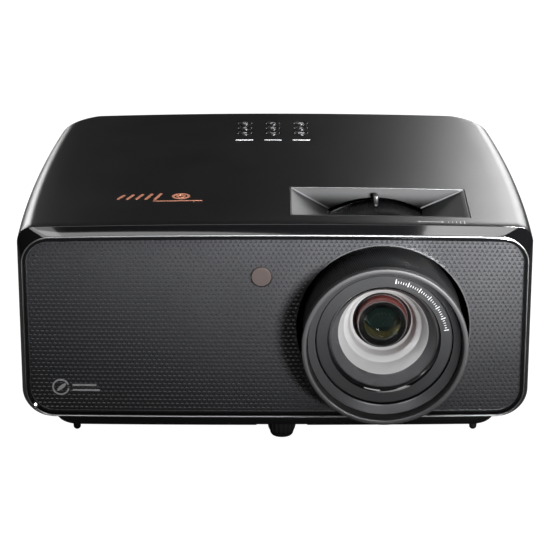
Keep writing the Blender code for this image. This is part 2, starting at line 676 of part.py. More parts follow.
def make_fan(name, x, side, y, z):
    """A 60 mm fan that blows along X: a square frame with a bearing arm, and a bladed rotor."""
    half, thick = 0.030, 0.015
    frame = box(f"{name}_frame", (x - thick / 2, y - half, z - half), (x + thick / 2, y + half, z + half),
                "fan_black")
    combine(frame, rod(f"{name}_duct", 0.0285, -0.02, 0.02, (x, y, z), "X", segments=28), "DIFFERENCE")
    inner = x - side * (thick / 2 - 0.0011)
    arms = [((inner - 0.0011, y - half + 0.0005, z - 0.002), (inner + 0.0011, y + half - 0.0005, z + 0.002))]
    combine(frame, many_boxes(f"{name}_arm", arms), "UNION")
    blades, hub, tip = 7, 0.0130, 0.0275
    outline = []
    for i in range(blades):
        start = math.tau * i / blades
        for radius, turn in ((hub, 0.0), (hub, 0.34), (tip, 0.50), (tip, 0.62), (hub, 0.56)):
            outline.append((radius * math.cos(start + turn), radius * math.sin(start + turn)))
    half_rotor = 0.0050
    bm = prism_mesh(outline, -half_rotor, half_rotor, "X", twist=-0.30)
    place(f"{name}_rotor", bm, "fan_black", (x + side * 0.0008, y, z))


def heatsink(name, length, depth, height, fins, location, turn):
    """A finned block: its base faces its local -Y, and its fins run along Z."""
    base, thickness = 0.004, 0.0016
    outline = comb_outline(length, base, depth - base, fins, thickness)
    obj = place(name, prism_mesh(outline, -height / 2, height / 2, "Z"), "aluminium", location)
    obj.rotation_euler = (0, 0, turn)
    return obj


def make_optics():
    engine = box("optical_engine", (0.028, RIDGE + 0.1246, 0.0420), (0.118, RIDGE + 0.1960, 0.1320),
                 "black_metal")
    combine(engine, box("engine_hollow", (0.031, RIDGE + 0.1276, 0.0450), (0.115, RIDGE + 0.1930, 0.1290)),
            "DIFFERENCE")
    combine(engine, rod("engine_mouth", 0.028, -0.006, 0.006, (LENS_X, RIDGE + 0.1246, LENS_Z), "Y",
                        segments=24), "DIFFERENCE")
    heatsink("imaging_chip_heatsink", 0.050, 0.030, 0.052, 9, (0.073, RIDGE + 0.1963, 0.086), 0.0)
    box("laser_module", (-0.0300, RIDGE + 0.1410, 0.0550), (0.0277, RIDGE + 0.1850, 0.1050), "black_metal")
    heatsink("laser_heatsink", 0.066, 0.085, 0.080, 12, (-0.0303, RIDGE + 0.1630, 0.085),
             math.radians(90))
    wheel = (-0.0100, RIDGE + 0.1110, 0.0810)
    housing = box("phosphor_housing", (-0.0280, RIDGE + 0.0820, 0.0520), (0.0080, RIDGE + 0.1400, 0.1100),
                  "black_metal")
    combine(housing, box("wheel_slot", (-0.0180, RIDGE + 0.0845, 0.0545), (-0.0030, RIDGE + 0.1375, 0.1200)),
            "DIFFERENCE")
    rim, hub = 0.0250, 0.0080
    turned("phosphor_wheel", [(0, -0.0050), (hub, -0.0050), (hub, -0.0008), (rim, -0.0008), (rim, 0.0008),
                              (hub, 0.0008), (hub, 0.0045), (0, 0.0045)], "phosphor", wheel, "X", 28)


def make_electronics():
    box("main_board", (-0.070, RIDGE + 0.2436, 0.0560), (0.110, RIDGE + 0.2452, 0.1130), "circuit_green")
    low = (-0.152, RIDGE + 0.0220, 0.0260)
    board = box("power_board", low, (-0.034, RIDGE + 0.1120, 0.0276), "circuit_green")
    blocks = [
        ((-0.140, RIDGE + 0.030, 0.0270), (-0.104, RIDGE + 0.064, 0.0580)),
        ((-0.094, RIDGE + 0.034, 0.0270), (-0.066, RIDGE + 0.058, 0.0520)),
        ((-0.138, RIDGE + 0.078, 0.0270), (-0.060, RIDGE + 0.082, 0.0620)),
    ]
    combine(board, many_boxes("power_blocks", blocks), "UNION")
    for number, (x, y) in enumerate(((-0.050, 0.036), (-0.050, 0.062)), 1):
        can = rod(f"capacitor_{number}", 0.0090, 0.0270, 0.0560, (x, RIDGE + y, 0), segments=16)
        combine(board, can, "UNION")
    profile = [(0, -0.011), (0.014, -0.011), (0.014, 0.002), (0.019, 0.009), (0.019, 0.011),
               (0.016, 0.011), (0.006, 0.003), (0, 0.003)]
    turned("loudspeaker", profile, "black_metal", (0.139, RIDGE + 0.212, 0.078), "X", 24)
    make_fan("intake_fan", 0.147, 1, RIDGE + 0.112, 0.092)
    make_fan("exhaust_fan", -0.147, -1, RIDGE + 0.160, 0.092)


# ---- Feet ----------------------------------------------------------------

def make_feet():
    """Screw feet: a knob with a threaded stud, on a rubber pad."""
    pad_top = 0.0027
    knob_low, knob_high = pad_top + GAP, FOOT_HEIGHT - 0.0005
    knob = [(0, knob_low), (0.0084, knob_low), (0.0092, knob_low + 0.0020), (0.0104, knob_high - 0.0030),
            (0.0106, knob_high), (STUD_RADIUS, knob_high), (STUD_RADIUS, 0.0440), (0, 0.0440)]
    pad = [(0, 0), (0.0066, 0), (0.0078, 0.0014), (0.0080, pad_top), (0, pad_top)]
    for foot, x, y in FEET:
        turned(f"{foot}_foot_knob", knob, "dark_plastic", (x, y, 0), "Z", 20)
        turned(f"{foot}_foot_pad", pad, "rubber", (x, y, 0), "Z", 20)


def main():
    clear_scene()
    make_case()
    make_keypad()
    make_lens()
    make_optics()
    make_electronics()
    make_feet()


main()
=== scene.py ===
"""Looks of a home projector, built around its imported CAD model.

Metres, +Z up, and the lens faces -Y, as in the CAD model.
"""
import json
import math

import bmesh
import bpy
from mathutils import Matrix, Vector


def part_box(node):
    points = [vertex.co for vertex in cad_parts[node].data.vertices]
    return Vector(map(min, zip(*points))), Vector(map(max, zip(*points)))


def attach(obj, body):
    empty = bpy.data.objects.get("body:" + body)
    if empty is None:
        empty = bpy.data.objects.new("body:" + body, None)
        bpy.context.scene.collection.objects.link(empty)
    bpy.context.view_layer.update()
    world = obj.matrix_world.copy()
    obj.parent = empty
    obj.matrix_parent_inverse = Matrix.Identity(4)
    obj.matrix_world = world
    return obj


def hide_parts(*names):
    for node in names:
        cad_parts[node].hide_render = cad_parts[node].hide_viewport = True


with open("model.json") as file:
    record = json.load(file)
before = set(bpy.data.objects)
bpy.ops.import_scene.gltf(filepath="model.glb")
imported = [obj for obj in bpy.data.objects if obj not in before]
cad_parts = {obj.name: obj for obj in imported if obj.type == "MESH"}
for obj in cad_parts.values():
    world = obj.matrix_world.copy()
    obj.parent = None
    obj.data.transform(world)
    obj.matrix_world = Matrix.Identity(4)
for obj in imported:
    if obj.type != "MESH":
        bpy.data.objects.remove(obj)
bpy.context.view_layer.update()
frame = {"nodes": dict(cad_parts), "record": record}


def middle(node):
    low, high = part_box(node)
    return (low + high) / 2


# ---- Driving dimensions, shared with the CAD model -------------------------

GAP = 0.0003
WALL = 0.0025
BODY_DEPTH = 0.265
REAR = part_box("top_cover")[1].y
RIDGE = REAR - BODY_DEPTH       # foremost line of the bezel
BODY_WIDTH = 2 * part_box("top_cover")[1].x
BODY_TOP = 0.1585
SEAM = 0.052
FLOOR_EDGE = 0.0225
FOOT_HEIGHT = 0.0155
COVER_FRONT = RIDGE + 0.006

SHOULDER_RADIUS = 0.0105
BELLY_RADIUS = 0.02
REAR_TOP_RADIUS = 0.003
REAR_BOTTOM_RADIUS = 0.008
REAR_CORNER_RADIUS = 0.026
SIDE_BOW = 0.288
WIDEST_Y = RIDGE + 0.0514
FRONT_BOW = 0.102
CROWN_DROP = 0.0022
CROWN_AT = 0.14
MIDDLE_Z = 0.088

LENS = Vector((middle("focus_ring").x, RIDGE, middle("focus_ring").z))
LENS_HOLE_RADIUS = 0.0572
KEYS = {name: middle(name) for name in frame["nodes"] if name.startswith("key_")}
KEY_RADIUS = 0.0052
KEY_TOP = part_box("key_rear_left")[1].z
LIGHT_BAR_Y = middle("status_light_pipe").y
LIGHT_BAR_SIZE = (0.0128, 0.0014)
LIGHT_BAR_X = sorted({round(centre.x, 5) for centre in KEYS.values()})
TOP_CUT = (0.15, 0.17)        # heights that a cut through the top spans
TRAY_X = (0.01, 0.128)
TRAY_Y = (RIDGE + 0.024, RIDGE + 0.0834)
TRAY_WINDOW_X = (0.036, 0.0992)
TRAY_BOTTOM = 0.1435
TRAY_ARCH_X = 0.0676
TRAY_ARCH_RADIUS = 0.0642
GRILLE_Y = (RIDGE + 0.07, RIDGE + 0.195)
GRILLE_Z = (0.062, 0.122)
PANEL_OPENING_X = 0.117
PANEL_OPENING_Z = (0.057, 0.112)
RECEIVER = middle("receiver_window")
RECEIVER_RADIUS = 0.0068
LOCK_SLOT = (0.101, 0.068)
SOCKETS = ("ac_inlet", "hdmi_port_1", "hdmi_port_2", "usb_port", "lan_port", "serial_port")

# ---- Finishes --------------------------------------------------------------
# Colour, roughness, metallic, grain size and height, and how much the surface varies.

FINISHES = {
    "satin_black": ((0.0048, 0.0048, 0.0054), 0.3, 0.0, 0.0005, 0.000045, 0.04),
    "gloss_black": ((0.003, 0.003, 0.0034), 0.06, 0.0, 0.003, 0.000003, 0.03),
    "ridge_metal": ((0.42, 0.421, 0.43), 0.36, 1.0, 0.0008, 0.000006, 0.05),
    "charcoal": ((0.021, 0.0214, 0.024), 0.38, 0.0, 0.0004, 0.000012, 0.08),
    # Lighter finish for thin beads and bevels: they catch light, and their lighter colour is painted
    # highlight for the light lines along them.
    "edge_painted_highlight": ((0.11, 0.112, 0.118), 0.28, 0.6, 0.0006, 0.000006, 0.05),
    "tray_black": ((0.008, 0.0083, 0.0092), 0.5, 0.0, 0.0006, 0.00001, 0.06),
    # Lighter than the tray itself: painted highlight on its mitres and rear edge, on rounded strips that
    # also catch light.
    "tray_edge_painted_highlight": ((0.2, 0.202, 0.21), 0.3, 0.6, 0.0006, 0.000006, 0.05),
    "dark_plastic": ((0.014, 0.014, 0.015), 0.45, 0.0, 0.0005, 0.000025, 0.1),
    "rib_black": ((0.03, 0.03, 0.032), 0.3, 0.0, 0.0005, 0.00001, 0.08),
    "rim_grey": ((0.036, 0.036, 0.038), 0.5, 0.1, 0.0005, 0.00001, 0.06),
    "cell_grey": ((0.07, 0.07, 0.074), 0.42, 0.5, 0.00035, 0.000045, 0.12),
    "trim_grey": ((0.024, 0.0245, 0.026), 0.36, 0.2, 0.00045, 0.00001, 0.06),
    "silver": ((0.44, 0.44, 0.442), 0.38, 0.35, 0.0005, 0.000012, 0.05),
    "silver_grain": ((0.12, 0.12, 0.126), 0.34, 0.7, 0.0004, 0.00006, 0.25),
    "receiver": ((0.06, 0.048, 0.045), 0.2, 0.0, 0.001, 0.000004, 0.05),
    "white_light": ((0.86, 0.865, 0.88), 0.35, 0.0, 0.0008, 0.000006, 0.04),
    "white_print": ((0.62, 0.625, 0.635), 0.5, 0.0, 0.0005, 0.000006, 0.05),
    "grey_print": ((0.42, 0.425, 0.435), 0.5, 0.0, 0.0005, 0.000006, 0.08),
    "key_print": ((0.15, 0.152, 0.158), 0.5, 0.0, 0.0005, 0.000006, 0.08),
    "copper": ((0.7, 0.29, 0.18), 0.36, 0.2, 0.0005, 0.000008, 0.1),
    # Red-brown painted reflection: the nose side's colour stands in for the reflection and refraction seen
    # at the front lens's edge.
    "lens_edge_painted_reflection": ((0.075, 0.013, 0.01), 0.3, 0.0, 0.0005, 0.00001, 0.15),
    "lens_coating": ((0.012, 0.05, 0.048), 0.14, 0.8, 0.002, 0.000004, 0.1),
    "lens_amber": ((0.07, 0.055, 0.01), 0.22, 0.8, 0.002, 0.000004, 0.1),
    # Flat black for real baffles, cavities and small black parts, and also painted shade: the screws' cross
    # recesses and the pad inserts' holes.
    "baffle_black_and_recess_shade": ((0.006, 0.006, 0.006), 0.3, 0.0, 0.0005, 0.00001, 0.1),
    "glass": ((0.88, 0.9, 0.86), 0.02, 0.0, 0.004, 0.000001, 0.02),
    "aluminium": ((0.56, 0.565, 0.58), 0.36, 1.0, 0.0005, 0.00001, 0.1),
    "black_metal": ((0.02, 0.02, 0.022), 0.42, 0.3, 0.0005, 0.000015, 0.1),
    "circuit_green": ((0.012, 0.08, 0.032), 0.42, 0.0, 0.002, 0.00001, 0.15),
    "fan_black": ((0.016, 0.016, 0.018), 0.5, 0.0, 0.0005, 0.000015, 0.08),
    "rubber": ((0.013, 0.013, 0.013), 0.78, 0.0, 0.0004, 0.00003, 0.12),
    "steel": ((0.52, 0.53, 0.545), 0.28, 1.0, 0.0004, 0.000008, 0.12),
    "brass": ((0.62, 0.44, 0.18), 0.3, 1.0, 0.0005, 0.000008, 0.1),
    "gold": ((0.75, 0.54, 0.2), 0.25, 1.0, 0.0005, 0.000004, 0.05),
    "phosphor": ((0.8, 0.64, 0.09), 0.45, 0.0, 0.0006, 0.000012, 0.1),
    "plate_grey": ((0.055, 0.056, 0.06), 0.4, 0.0, 0.0008, 0.000006, 0.05),
}
# Values that are the same all over a finish.
SHADER_EXTRAS = {
    "gloss_black": {"Coat Weight": 0.6, "Coat Roughness": 0.03},
    "receiver": {"Coat Weight": 0.5, "Coat Roughness": 0.08},
    "glass": {"Transmission Weight": 1.0, "IOR": 1.52},
    "lens_edge_painted_reflection": {"Coat Weight": 0.4, "Coat Roughness": 0.1},
    "white_light": {"Emission Color": (0.9, 0.95, 1.0, 1.0), "Emission Strength": 0.35},
}
TURNED = {"silver", "rim_grey", "trim_grey", "silver_grain"}  # show the rings a lathe leaves
SLOW_SCALE = 26.0               # cycles per metre of the slow changes in roughness
LATHE_RING_SCALE = 420.0
LATHE_RING_HEIGHT = 0.00001


def add_node(nodes, kind, values):
    made = nodes.new(kind)
    for socket, value in values.items():
        made.inputs[socket].default_value = value
    return made


def material(name):
    """A procedural finish: grain in its relief and colour, and slow changes in its roughness."""
    found = bpy.data.materials.get(f"look_{name}")
    if found:
        return found
    color, roughness, metallic, grain, height, variation = FINISHES[name]
    made = bpy.data.materials.new(f"look_{name}")
    made.use_nodes = True
    nodes, links = made.node_tree.nodes, made.node_tree.links
    shader = nodes["Principled BSDF"]
    shader.inputs["Metallic"].default_value = metallic
    place = nodes.new("ShaderNodeTexCoord").outputs["Object"]

    slow = add_node(nodes, "ShaderNodeTexNoise", {"Scale": SLOW_SCALE, "Detail": 4.0})
    links.new(place, slow.inputs["Vector"])
    rough = add_node(nodes, "ShaderNodeMapRange", {
        "From Min": 0.3, "From Max": 0.7,
        "To Min": roughness * (1 - variation), "To Max": roughness * (1 + variation),
    })
    links.new(slow.outputs["Fac"], rough.inputs["Value"])
    links.new(rough.outputs["Result"], shader.inputs["Roughness"])

    fine = add_node(nodes, "ShaderNodeTexNoise", {"Scale": 1.0 / grain, "Detail": 2.0})
    links.new(place, fine.inputs["Vector"])
    tint = nodes.new("ShaderNodeMix")
    tint.data_type = "RGBA"
    tint.inputs["A"].default_value = (*[c * (1 - variation) for c in color], 1.0)
    tint.inputs["B"].default_value = (*[min(1.0, c * (1 + variation)) for c in color], 1.0)
    links.new(fine.outputs["Fac"], tint.inputs["Factor"])
    links.new(tint.outputs["Result"], shader.inputs["Base Color"])

    bump = add_node(nodes, "ShaderNodeBump", {"Distance": height})
    links.new(fine.outputs["Fac"], bump.inputs["Height"])
    normal = bump.outputs["Normal"]
    if name in TURNED:
        centred = nodes.new("ShaderNodeVectorMath")
        centred.operation = "SUBTRACT"
        centred.inputs[1].default_value = LENS
        links.new(place, centred.inputs[0])
        rings = add_node(nodes, "ShaderNodeTexWave", {"Scale": LATHE_RING_SCALE, "Distortion": 0.6})
        rings.wave_type = "RINGS"
        rings.rings_direction = "Y"
        links.new(centred.outputs["Vector"], rings.inputs["Vector"])
        turned = add_node(nodes, "ShaderNodeBump", {"Distance": LATHE_RING_HEIGHT})
        links.new(rings.outputs["Fac"], turned.inputs["Height"])
        links.new(normal, turned.inputs["Normal"])
        normal = turned.outputs["Normal"]
    links.new(normal, shader.inputs["Normal"])
    for socket, value in SHADER_EXTRAS.get(name, {}).items():
        shader.inputs[socket].default_value = value
    return made


# ---- Mesh making -----------------------------------------------------------

def axis_point(axis, radius, angle, along):
    across = (radius * math.cos(angle), radius * math.sin(angle))
    return Vector({
        "X": (along, across[0], across[1]),
        "Y": (across[0], along, across[1]),
        "Z": (across[0], across[1], along),
    }[axis])


def circle(x, z, radius, steps):
    return [(x + radius * math.cos(math.tau * i / steps), z + radius * math.sin(math.tau * i / steps))
            for i in range(steps)]


def band(finish, *points):
    """Profile points (radius, along) of one finish."""
    return [(radius, along, finish) for radius, along in points]


def add_object(name, data):
    obj = bpy.data.objects.new(name, data)
    bpy.context.scene.collection.objects.link(obj)
    return obj


def rounded_rectangle(x, z, width, height, radius, steps=4):
    """Corner points of a rounded rectangle, counter-clockwise from its right side."""
    across, up = width / 2 - radius, height / 2 - radius
    points = []
    for quarter, (side, rise) in enumerate(((1, 1), (-1, 1), (-1, -1), (1, -1))):
        for step in range(steps + 1):
            angle = math.pi / 2 * (quarter + step / steps)
            points.append((x + side * across + radius * math.cos(angle),
                           z + rise * up + radius * math.sin(angle)))
    return points


class Shape:
    """A mesh in the making.  Each call adds faces of one finish."""

    def __init__(self):
        self.mesh = bmesh.new()
        self.finishes = []

    def paint(self, faces, finish):
        if finish not in self.finishes:
            self.finishes.append(finish)
        for face in faces:
            face.material_index = self.finishes.index(finish)

    def grid(self, rows, finish, around=True, along=False, caps=False):
        """Faces between successive rows of points."""
        made = [[self.mesh.verts.new(point) for point in row] for row in rows]
        pairs = list(zip(made, made[1:]))
        if along:
            pairs.append((made[-1], made[0]))
        count = len(made[0])
        faces = []
        for first, second in pairs:
            for i in range(count if around else count - 1):
                j = (i + 1) % count
                faces.append(self.mesh.faces.new((first[i], first[j], second[j], second[i])))
        if caps:
            faces += [self.mesh.faces.new(made[0]), self.mesh.faces.new(made[-1])]
        self.paint(faces, finish)
        return made

    def turn(self, profile, centre, axis="Y", segments=128, ribs=0, depth=0.0, slant=0.0):
        """Turns (radius, along, finish) points; each finish covers the band after its point.

        The outline closes on itself, or starts and ends on the axis.  Ribs cut grooves of the
        given depth into the bands whose finish starts with "rib".
        """
        if ribs:
            segments = 4 * ribs
        grooved = [finish.startswith("rib") for _, _, finish in profile]
        rings = []
        for index, (radius, along, _) in enumerate(profile):
            deep = ribs and (grooved[index] or grooved[index - 1])
            turn = slant * along
            ring = []
            for i in range(segments if radius > 0 else 1):
                low = depth if deep and i % 4 in (2, 3) else 0.0
                angle = math.tau * i / segments + turn
                ring.append(self.mesh.verts.new(centre + axis_point(axis, radius - low, angle, along)))
            rings.append(ring)
        last = len(profile) if profile[0][0] > 0 else len(profile) - 1
        for index in range(last):
            first, second = rings[index], rings[(index + 1) % len(rings)]
            faces = []
            for i in range(segments):
                j = (i + 1) % segments
                corners = [first[i % len(first)], first[j % len(first)],
                           second[j % len(second)], second[i % len(second)]]
                faces.append(self.mesh.faces.new(list(dict.fromkeys(corners))))
            self.paint(faces, profile[index][2])

    def block(self, low, high, finish, bevel=0.0003, segments=2, turn=None):
        """A box with rounded edges.  A turn matrix turns it about its middle."""
        low, high = Vector(low), Vector(high)
        made = bmesh.ops.create_cube(self.mesh, size=1.0)["verts"]
        bmesh.ops.scale(self.mesh, vec=high - low, verts=made)
        edges = list({edge for vert in made for edge in vert.link_edges})
        if bevel:
            result = bmesh.ops.bevel(self.mesh, geom=edges, offset=bevel, segments=segments,
                                     profile=0.5, affect="EDGES")
            made = list({vert for face in result["faces"] for vert in face.verts})
        if turn:
            bmesh.ops.transform(self.mesh, matrix=turn, verts=made)
        bmesh.ops.translate(self.mesh, vec=(low + high) / 2, verts=made)
        self.paint({face for vert in made for face in vert.link_faces}, finish)

    def prism(self, outline, low, high, finish, axis="Y", soft=0.0):
        """An outline of (x, z), (x, y) or (y, z) points, extruded along an axis, with softened rims."""
        def point(u, v, along):
            return {"X": (along, u, v), "Y": (u, along, v), "Z": (u, v, along)}[axis]

        centre = [sum(values) / len(outline) for values in zip(*outline)]
        rows = [(0.0, low), (0.0, high)]
        if soft:
            rows = [(soft, low), (0.0, low + soft), (0.0, high - soft), (soft, high)]
        reach = max(math.hypot(u - centre[0], v - centre[1]) for u, v in outline)
        made = []
        for inset, along in rows:
            share = 1 - inset / reach
            made.append([point(centre[0] + (u - centre[0]) * share, centre[1] + (v - centre[1]) * share,
                               along) for u, v in outline])
        self.grid(made, finish, caps=True)

    def tube(self, outer, inner, back, face, floor, finish, lip=0.0003):
        """A socket that opens to +Y: an outer wall, a rim, and a cavity down to its floor."""
        def ring(outline, y):
            return [(x, y, z) for x, z in outline]

        middle_x, middle_z = (sum(values) / len(outer) for values in zip(*outer))

        def shrink(outline, amount):
            reach = max(abs(x - middle_x) for x, _ in outline)
            share = 1 - amount / reach
            return [(middle_x + (x - middle_x) * share, middle_z + (z - middle_z) * share)
                    for x, z in outline]

        rows = [ring(outer, back), ring(outer, face - lip), ring(shrink(outer, lip), face),
                ring(shrink(inner, -lip), face), ring(inner, face - lip), ring(inner, floor)]
        self.grid(rows, finish, caps=True)

    def object(self, name):
        bmesh.ops.recalc_face_normals(self.mesh, faces=self.mesh.faces)
        mesh = bpy.data.meshes.new(name)
        self.mesh.to_mesh(mesh)
        self.mesh.free()
        return add_object(name, mesh)

    def tool(self):
        """The shape as a cutting tool, not as a piece."""
        return self.object("tool")

    def piece(self, name, slot, body="root", replaces=(), angle=30):
        obj = self.object(name)
        for finish in self.finishes:
            obj.data.materials.append(material(finish))
        shade(obj, angle)
        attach(obj, body)
        if replaces:
            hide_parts(*replaces)
        return obj


def lathe(name, slot, body, replaces, profile, segments=160, centre=LENS, axis="Y", **options):
    """A whole piece turned from one profile, about the lens axis unless told otherwise."""
    shape = Shape()
    shape.turn(profile, centre, axis, segments, **options)
    shape.piece(name, slot, body, replaces)


def shade(obj, angle=30):
    obj.data.shade_smooth()
    obj.data.set_sharp_from_angle(angle=math.radians(angle))


def apply_modifiers(obj):
    graph = bpy.context.evaluated_depsgraph_get()
    mesh = bpy.data.meshes.new_from_object(obj.evaluated_get(graph))
    obj.modifiers.clear()
    obj.data = mesh


def cut(obj, shape, operation="DIFFERENCE", angle=30):
    """Cuts a shape out of a piece for good, or keeps only what lies inside it."""
    tool = shape.tool()
    modifier = obj.modifiers.new("cut", "BOOLEAN")
    modifier.solver = "EXACT"
    modifier.operation = operation
    modifier.object = tool
    apply_modifiers(obj)
    bpy.data.objects.remove(tool, do_unlink=True)
    shade(obj, angle)


# ---- Shape of the case -----------------------------------------------------

def crown(x, z):
    rise = max(0.0, (z - MIDDLE_Z) / (BODY_TOP - MIDDLE_Z))
    return CROWN_DROP * (x / CROWN_AT) ** 2 * rise


def top_at(x, lift=0.0):
    return BODY_TOP - crown(x, BODY_TOP) + lift


def front_bow(x):
    return FRONT_BOW * x * x


def rounding(radius, reach):
    reach = min(max(reach, 0.0), radius)
    return radius - math.sqrt(radius * radius - reach * reach)


def half_width(y, inset=0.0):
    straight = BODY_WIDTH / 2 - SIDE_BOW * (y - WIDEST_Y) ** 2 - inset
    return straight - rounding(REAR_CORNER_RADIUS - inset, y - (REAR - REAR_CORNER_RADIUS))


def case_section(y, edge, radius, rear_radius, inset):
    """One cross-section of a cover, from the seam on the right over to the seam on the left."""
    up = 1 if edge > SEAM else -1
    width = half_width(y, inset)
    drop = rounding(rear_radius - inset, y - (REAR - rear_radius))
    top = edge - up * (inset + drop)
    bend = radius - inset
    seam = SEAM + up * GAP / 2
    soft = 0.0005
    half = [(width - soft, seam), (width - 0.3 * soft, seam + up * 0.3 * soft), (width, seam + up * soft)]
    arc_start = top - up * bend
    half += [(width, seam + (arc_start - seam) * share) for share in (0.12, 0.35, 0.68)]
    for step in range(15):
        angle = math.pi / 2 * step / 14
        half.append((width - bend + bend * math.cos(angle), arc_start + up * bend * math.sin(angle)))
    half += [((width - bend) * (1 - step / 14), top) for step in range(1, 14)]
    points = half + [(0.0, top)] + [(-x, z) for x, z in reversed(half)]
    front = max(0.0, 1 - (y - COVER_FRONT) / 0.06)
    return [(x, y + front * front_bow(x), z - crown(x, z)) for x, z in points]


def case_sections(edge, radius, rear_radius, inset):
    """All cross-sections of a cover, with a softened front edge."""
    soft = 0.00025
    rows = [(COVER_FRONT, inset + soft), (COVER_FRONT + 0.3 * soft, inset + 0.3 * soft)]
    start = REAR - REAR_CORNER_RADIUS
    y = COVER_FRONT + soft
    while y < start - 0.004:
        rows.append((y, inset))
        y += 0.009
    reach = REAR_CORNER_RADIUS - inset
    rows += [(start + reach * math.sin(math.pi / 2 * step / 26), inset) for step in range(27)]
    return [case_section(y, edge, radius, rear_radius, drawn_in) for y, drawn_in in rows]


def case_shell(edge, radius, rear_radius, finish):
    """A cover: a thin shell, open at the front and along the seam."""
    shape = Shape()
    outer, inner = (
        shape.grid(case_sections(edge, radius, rear_radius, inset), finish, around=False)
        for inset in (0.0, WALL)
    )
    faces = [shape.mesh.faces.new(side[-1]) for side in (outer, inner)]
    rims = [(outer[0], inner[0])] + [([row[end] for row in outer], [row[end] for row in inner])
                                     for end in (0, -1)]
    for first, second in rims:
        for i in range(len(first) - 1):
            faces.append(shape.mesh.faces.new((first[i], first[i + 1], second[i + 1], second[i])))
    faces.append(shape.mesh.faces.new((outer[-1][0], outer[-1][-1], inner[-1][-1], inner[-1][0])))
    shape.paint(faces, finish)
    return shape


def front_loop(y, half, low, high, low_radius, high_radius):
    """A rounded rectangle around the front, bowed in plan and crowned at its top."""
    points = []
    corners = (
        (half - high_radius, high - high_radius, high_radius, 0),
        (high_radius - half, high - high_radius, high_radius, 1),
        (low_radius - half, low + low_radius, low_radius, 2),
        (half - low_radius, low + low_radius, low_radius, 3),
    )
    for index, (x, z, radius, quarter) in enumerate(corners):
        for step in range(17):
            angle = math.pi / 2 * (quarter + step / 16)
            points.append((x + radius * math.cos(angle), z + radius * math.sin(angle)))
        next_x = corners[(index + 1) % 4][0]
        if index in (0, 2):
            points += [(x + (next_x - x) * step / 24, points[-1][1]) for step in range(1, 24)]
    return [(x, y + front_bow(x), z - crown(x, z)) for x, z in points]


def between(first, second, share):
    return [a + (b - a) * share for a, b in zip(first, second)]


# ---- Case ------------------------------------------------------------------

def make_top_cover():
    shape = case_shell(BODY_TOP, SHOULDER_RADIUS, REAR_TOP_RADIUS, "satin_black")
    cover = shape.piece("top_cover_shell", "satin_black", replaces=["top_cover"])
    holes = Shape()
    slack = 0.0005
    tray = rounded_rectangle(sum(TRAY_X) / 2, sum(TRAY_Y) / 2, TRAY_X[1] - TRAY_X[0] + 2 * slack,
                             TRAY_Y[1] - TRAY_Y[0] + 2 * slack, 0.0006, 2)
    holes.prism(tray, *TOP_CUT, "satin_black", "Z")
    holes.block((-0.2, GRILLE_Y[0], GRILLE_Z[0]), (0.2, GRILLE_Y[1], GRILLE_Z[1]), "satin_black", 0.0)
    holes.block((-PANEL_OPENING_X, REAR - 0.008, PANEL_OPENING_Z[0]),
                (PANEL_OPENING_X, REAR + 0.01, PANEL_OPENING_Z[1]), "satin_black", 0.0)
    for x in LIGHT_BAR_X:
        bar = rounded_rectangle(x, LIGHT_BAR_Y, LIGHT_BAR_SIZE[0] + 2 * GAP, LIGHT_BAR_SIZE[1] + 2 * GAP,
                                0.0009, 5)
        holes.prism(bar, *TOP_CUT, "satin_black", "Z")
    for centre in KEYS.values():
        holes.prism(circle(centre.x, centre.y, KEY_RADIUS + slack, 40), *TOP_CUT, "satin_black", "Z")
    cut(cover, holes)


def base_outline(z, half, front, rear, cut_in=0.012):
    """The base strip at height z: bowed at the front, with rounded corners."""
    points = []
    span = half - cut_in
    for side in (1, -1):
        for step in range(9):
            angle = math.pi / 2 * step / 8
            turn = angle if side > 0 else math.pi / 2 - angle
            x = span + cut_in * math.cos(turn)
            y = front + front_bow(x) + cut_in * (1 - math.sin(turn))
            points.append((side * x, y, z))
        if side > 0:
            points += [(span * (1 - step / 6), front + front_bow(span * (1 - step / 6)), z)
                       for step in range(1, 12)]
    for side in (-1, 1):
        for step in range(9):
            angle = math.pi / 2 * step / 8
            turn = angle if side < 0 else math.pi / 2 - angle
            points.append((side * (span + cut_in * math.cos(turn)),
                           rear - cut_in * (1 - math.sin(turn)), z))
    return points


def make_bottom_case():
    shape = case_shell(FLOOR_EDGE, BELLY_RADIUS, REAR_BOTTOM_RADIUS, "satin_black")
    half, base_front, base_rear = 0.148, RIDGE + 0.0085, RIDGE + 0.243
    top = FLOOR_EDGE + 0.0015
    rows = []
    for step in range(9):
        angle = math.pi / 2 * step / 8
        inset = 0.0055 * (1 - math.sin(angle))
        z = FOOT_HEIGHT + (top - FOOT_HEIGHT) * (1 - math.cos(angle))
        rows.append(base_outline(z, half - inset, base_front - 0.0014 + 0.3 * inset,
                                 base_rear + 0.0014 - inset))
    shape.grid(rows, "satin_black", caps=True)
    case = shape.piece("bottom_case_shell", "satin_black", replaces=["bottom_case"])
    sunk = Shape()
    front = middle("front_foot_knob")
    sunk.block((front.x - 0.017, base_front - 0.01, FOOT_HEIGHT - 0.004),
               (front.x + 0.017, front.y + 0.017, FOOT_HEIGHT + 0.0008), "satin_black", 0.0004)
    for x, y in VENT_ROWS:
        sunk.block((x - 0.003, y - 0.02, FOOT_HEIGHT - 0.01), (x + 0.003, y + 0.02, FOOT_HEIGHT + 0.0016),
                   "satin_black", 0.0005)
    sunk.block((-0.045, PLATE_Y - 0.02, FOOT_HEIGHT - 0.01),
               (0.045, PLATE_Y + 0.02, FOOT_HEIGHT + 0.0004), "satin_black", 0.0002)
    cut(case, sunk)


CEILING_PADS = ((-0.1, -0.06), (0.1, -0.06), (-0.09, 0.06), (0.09, 0.06))
CEILING_PAD_Z = FOOT_HEIGHT - 0.0005
PLATE_Y = 0.09
VENT_ROWS = [(x, y) for y in (-0.01, 0.045) for x in [0.03 + 0.0095 * i for i in range(8)]]


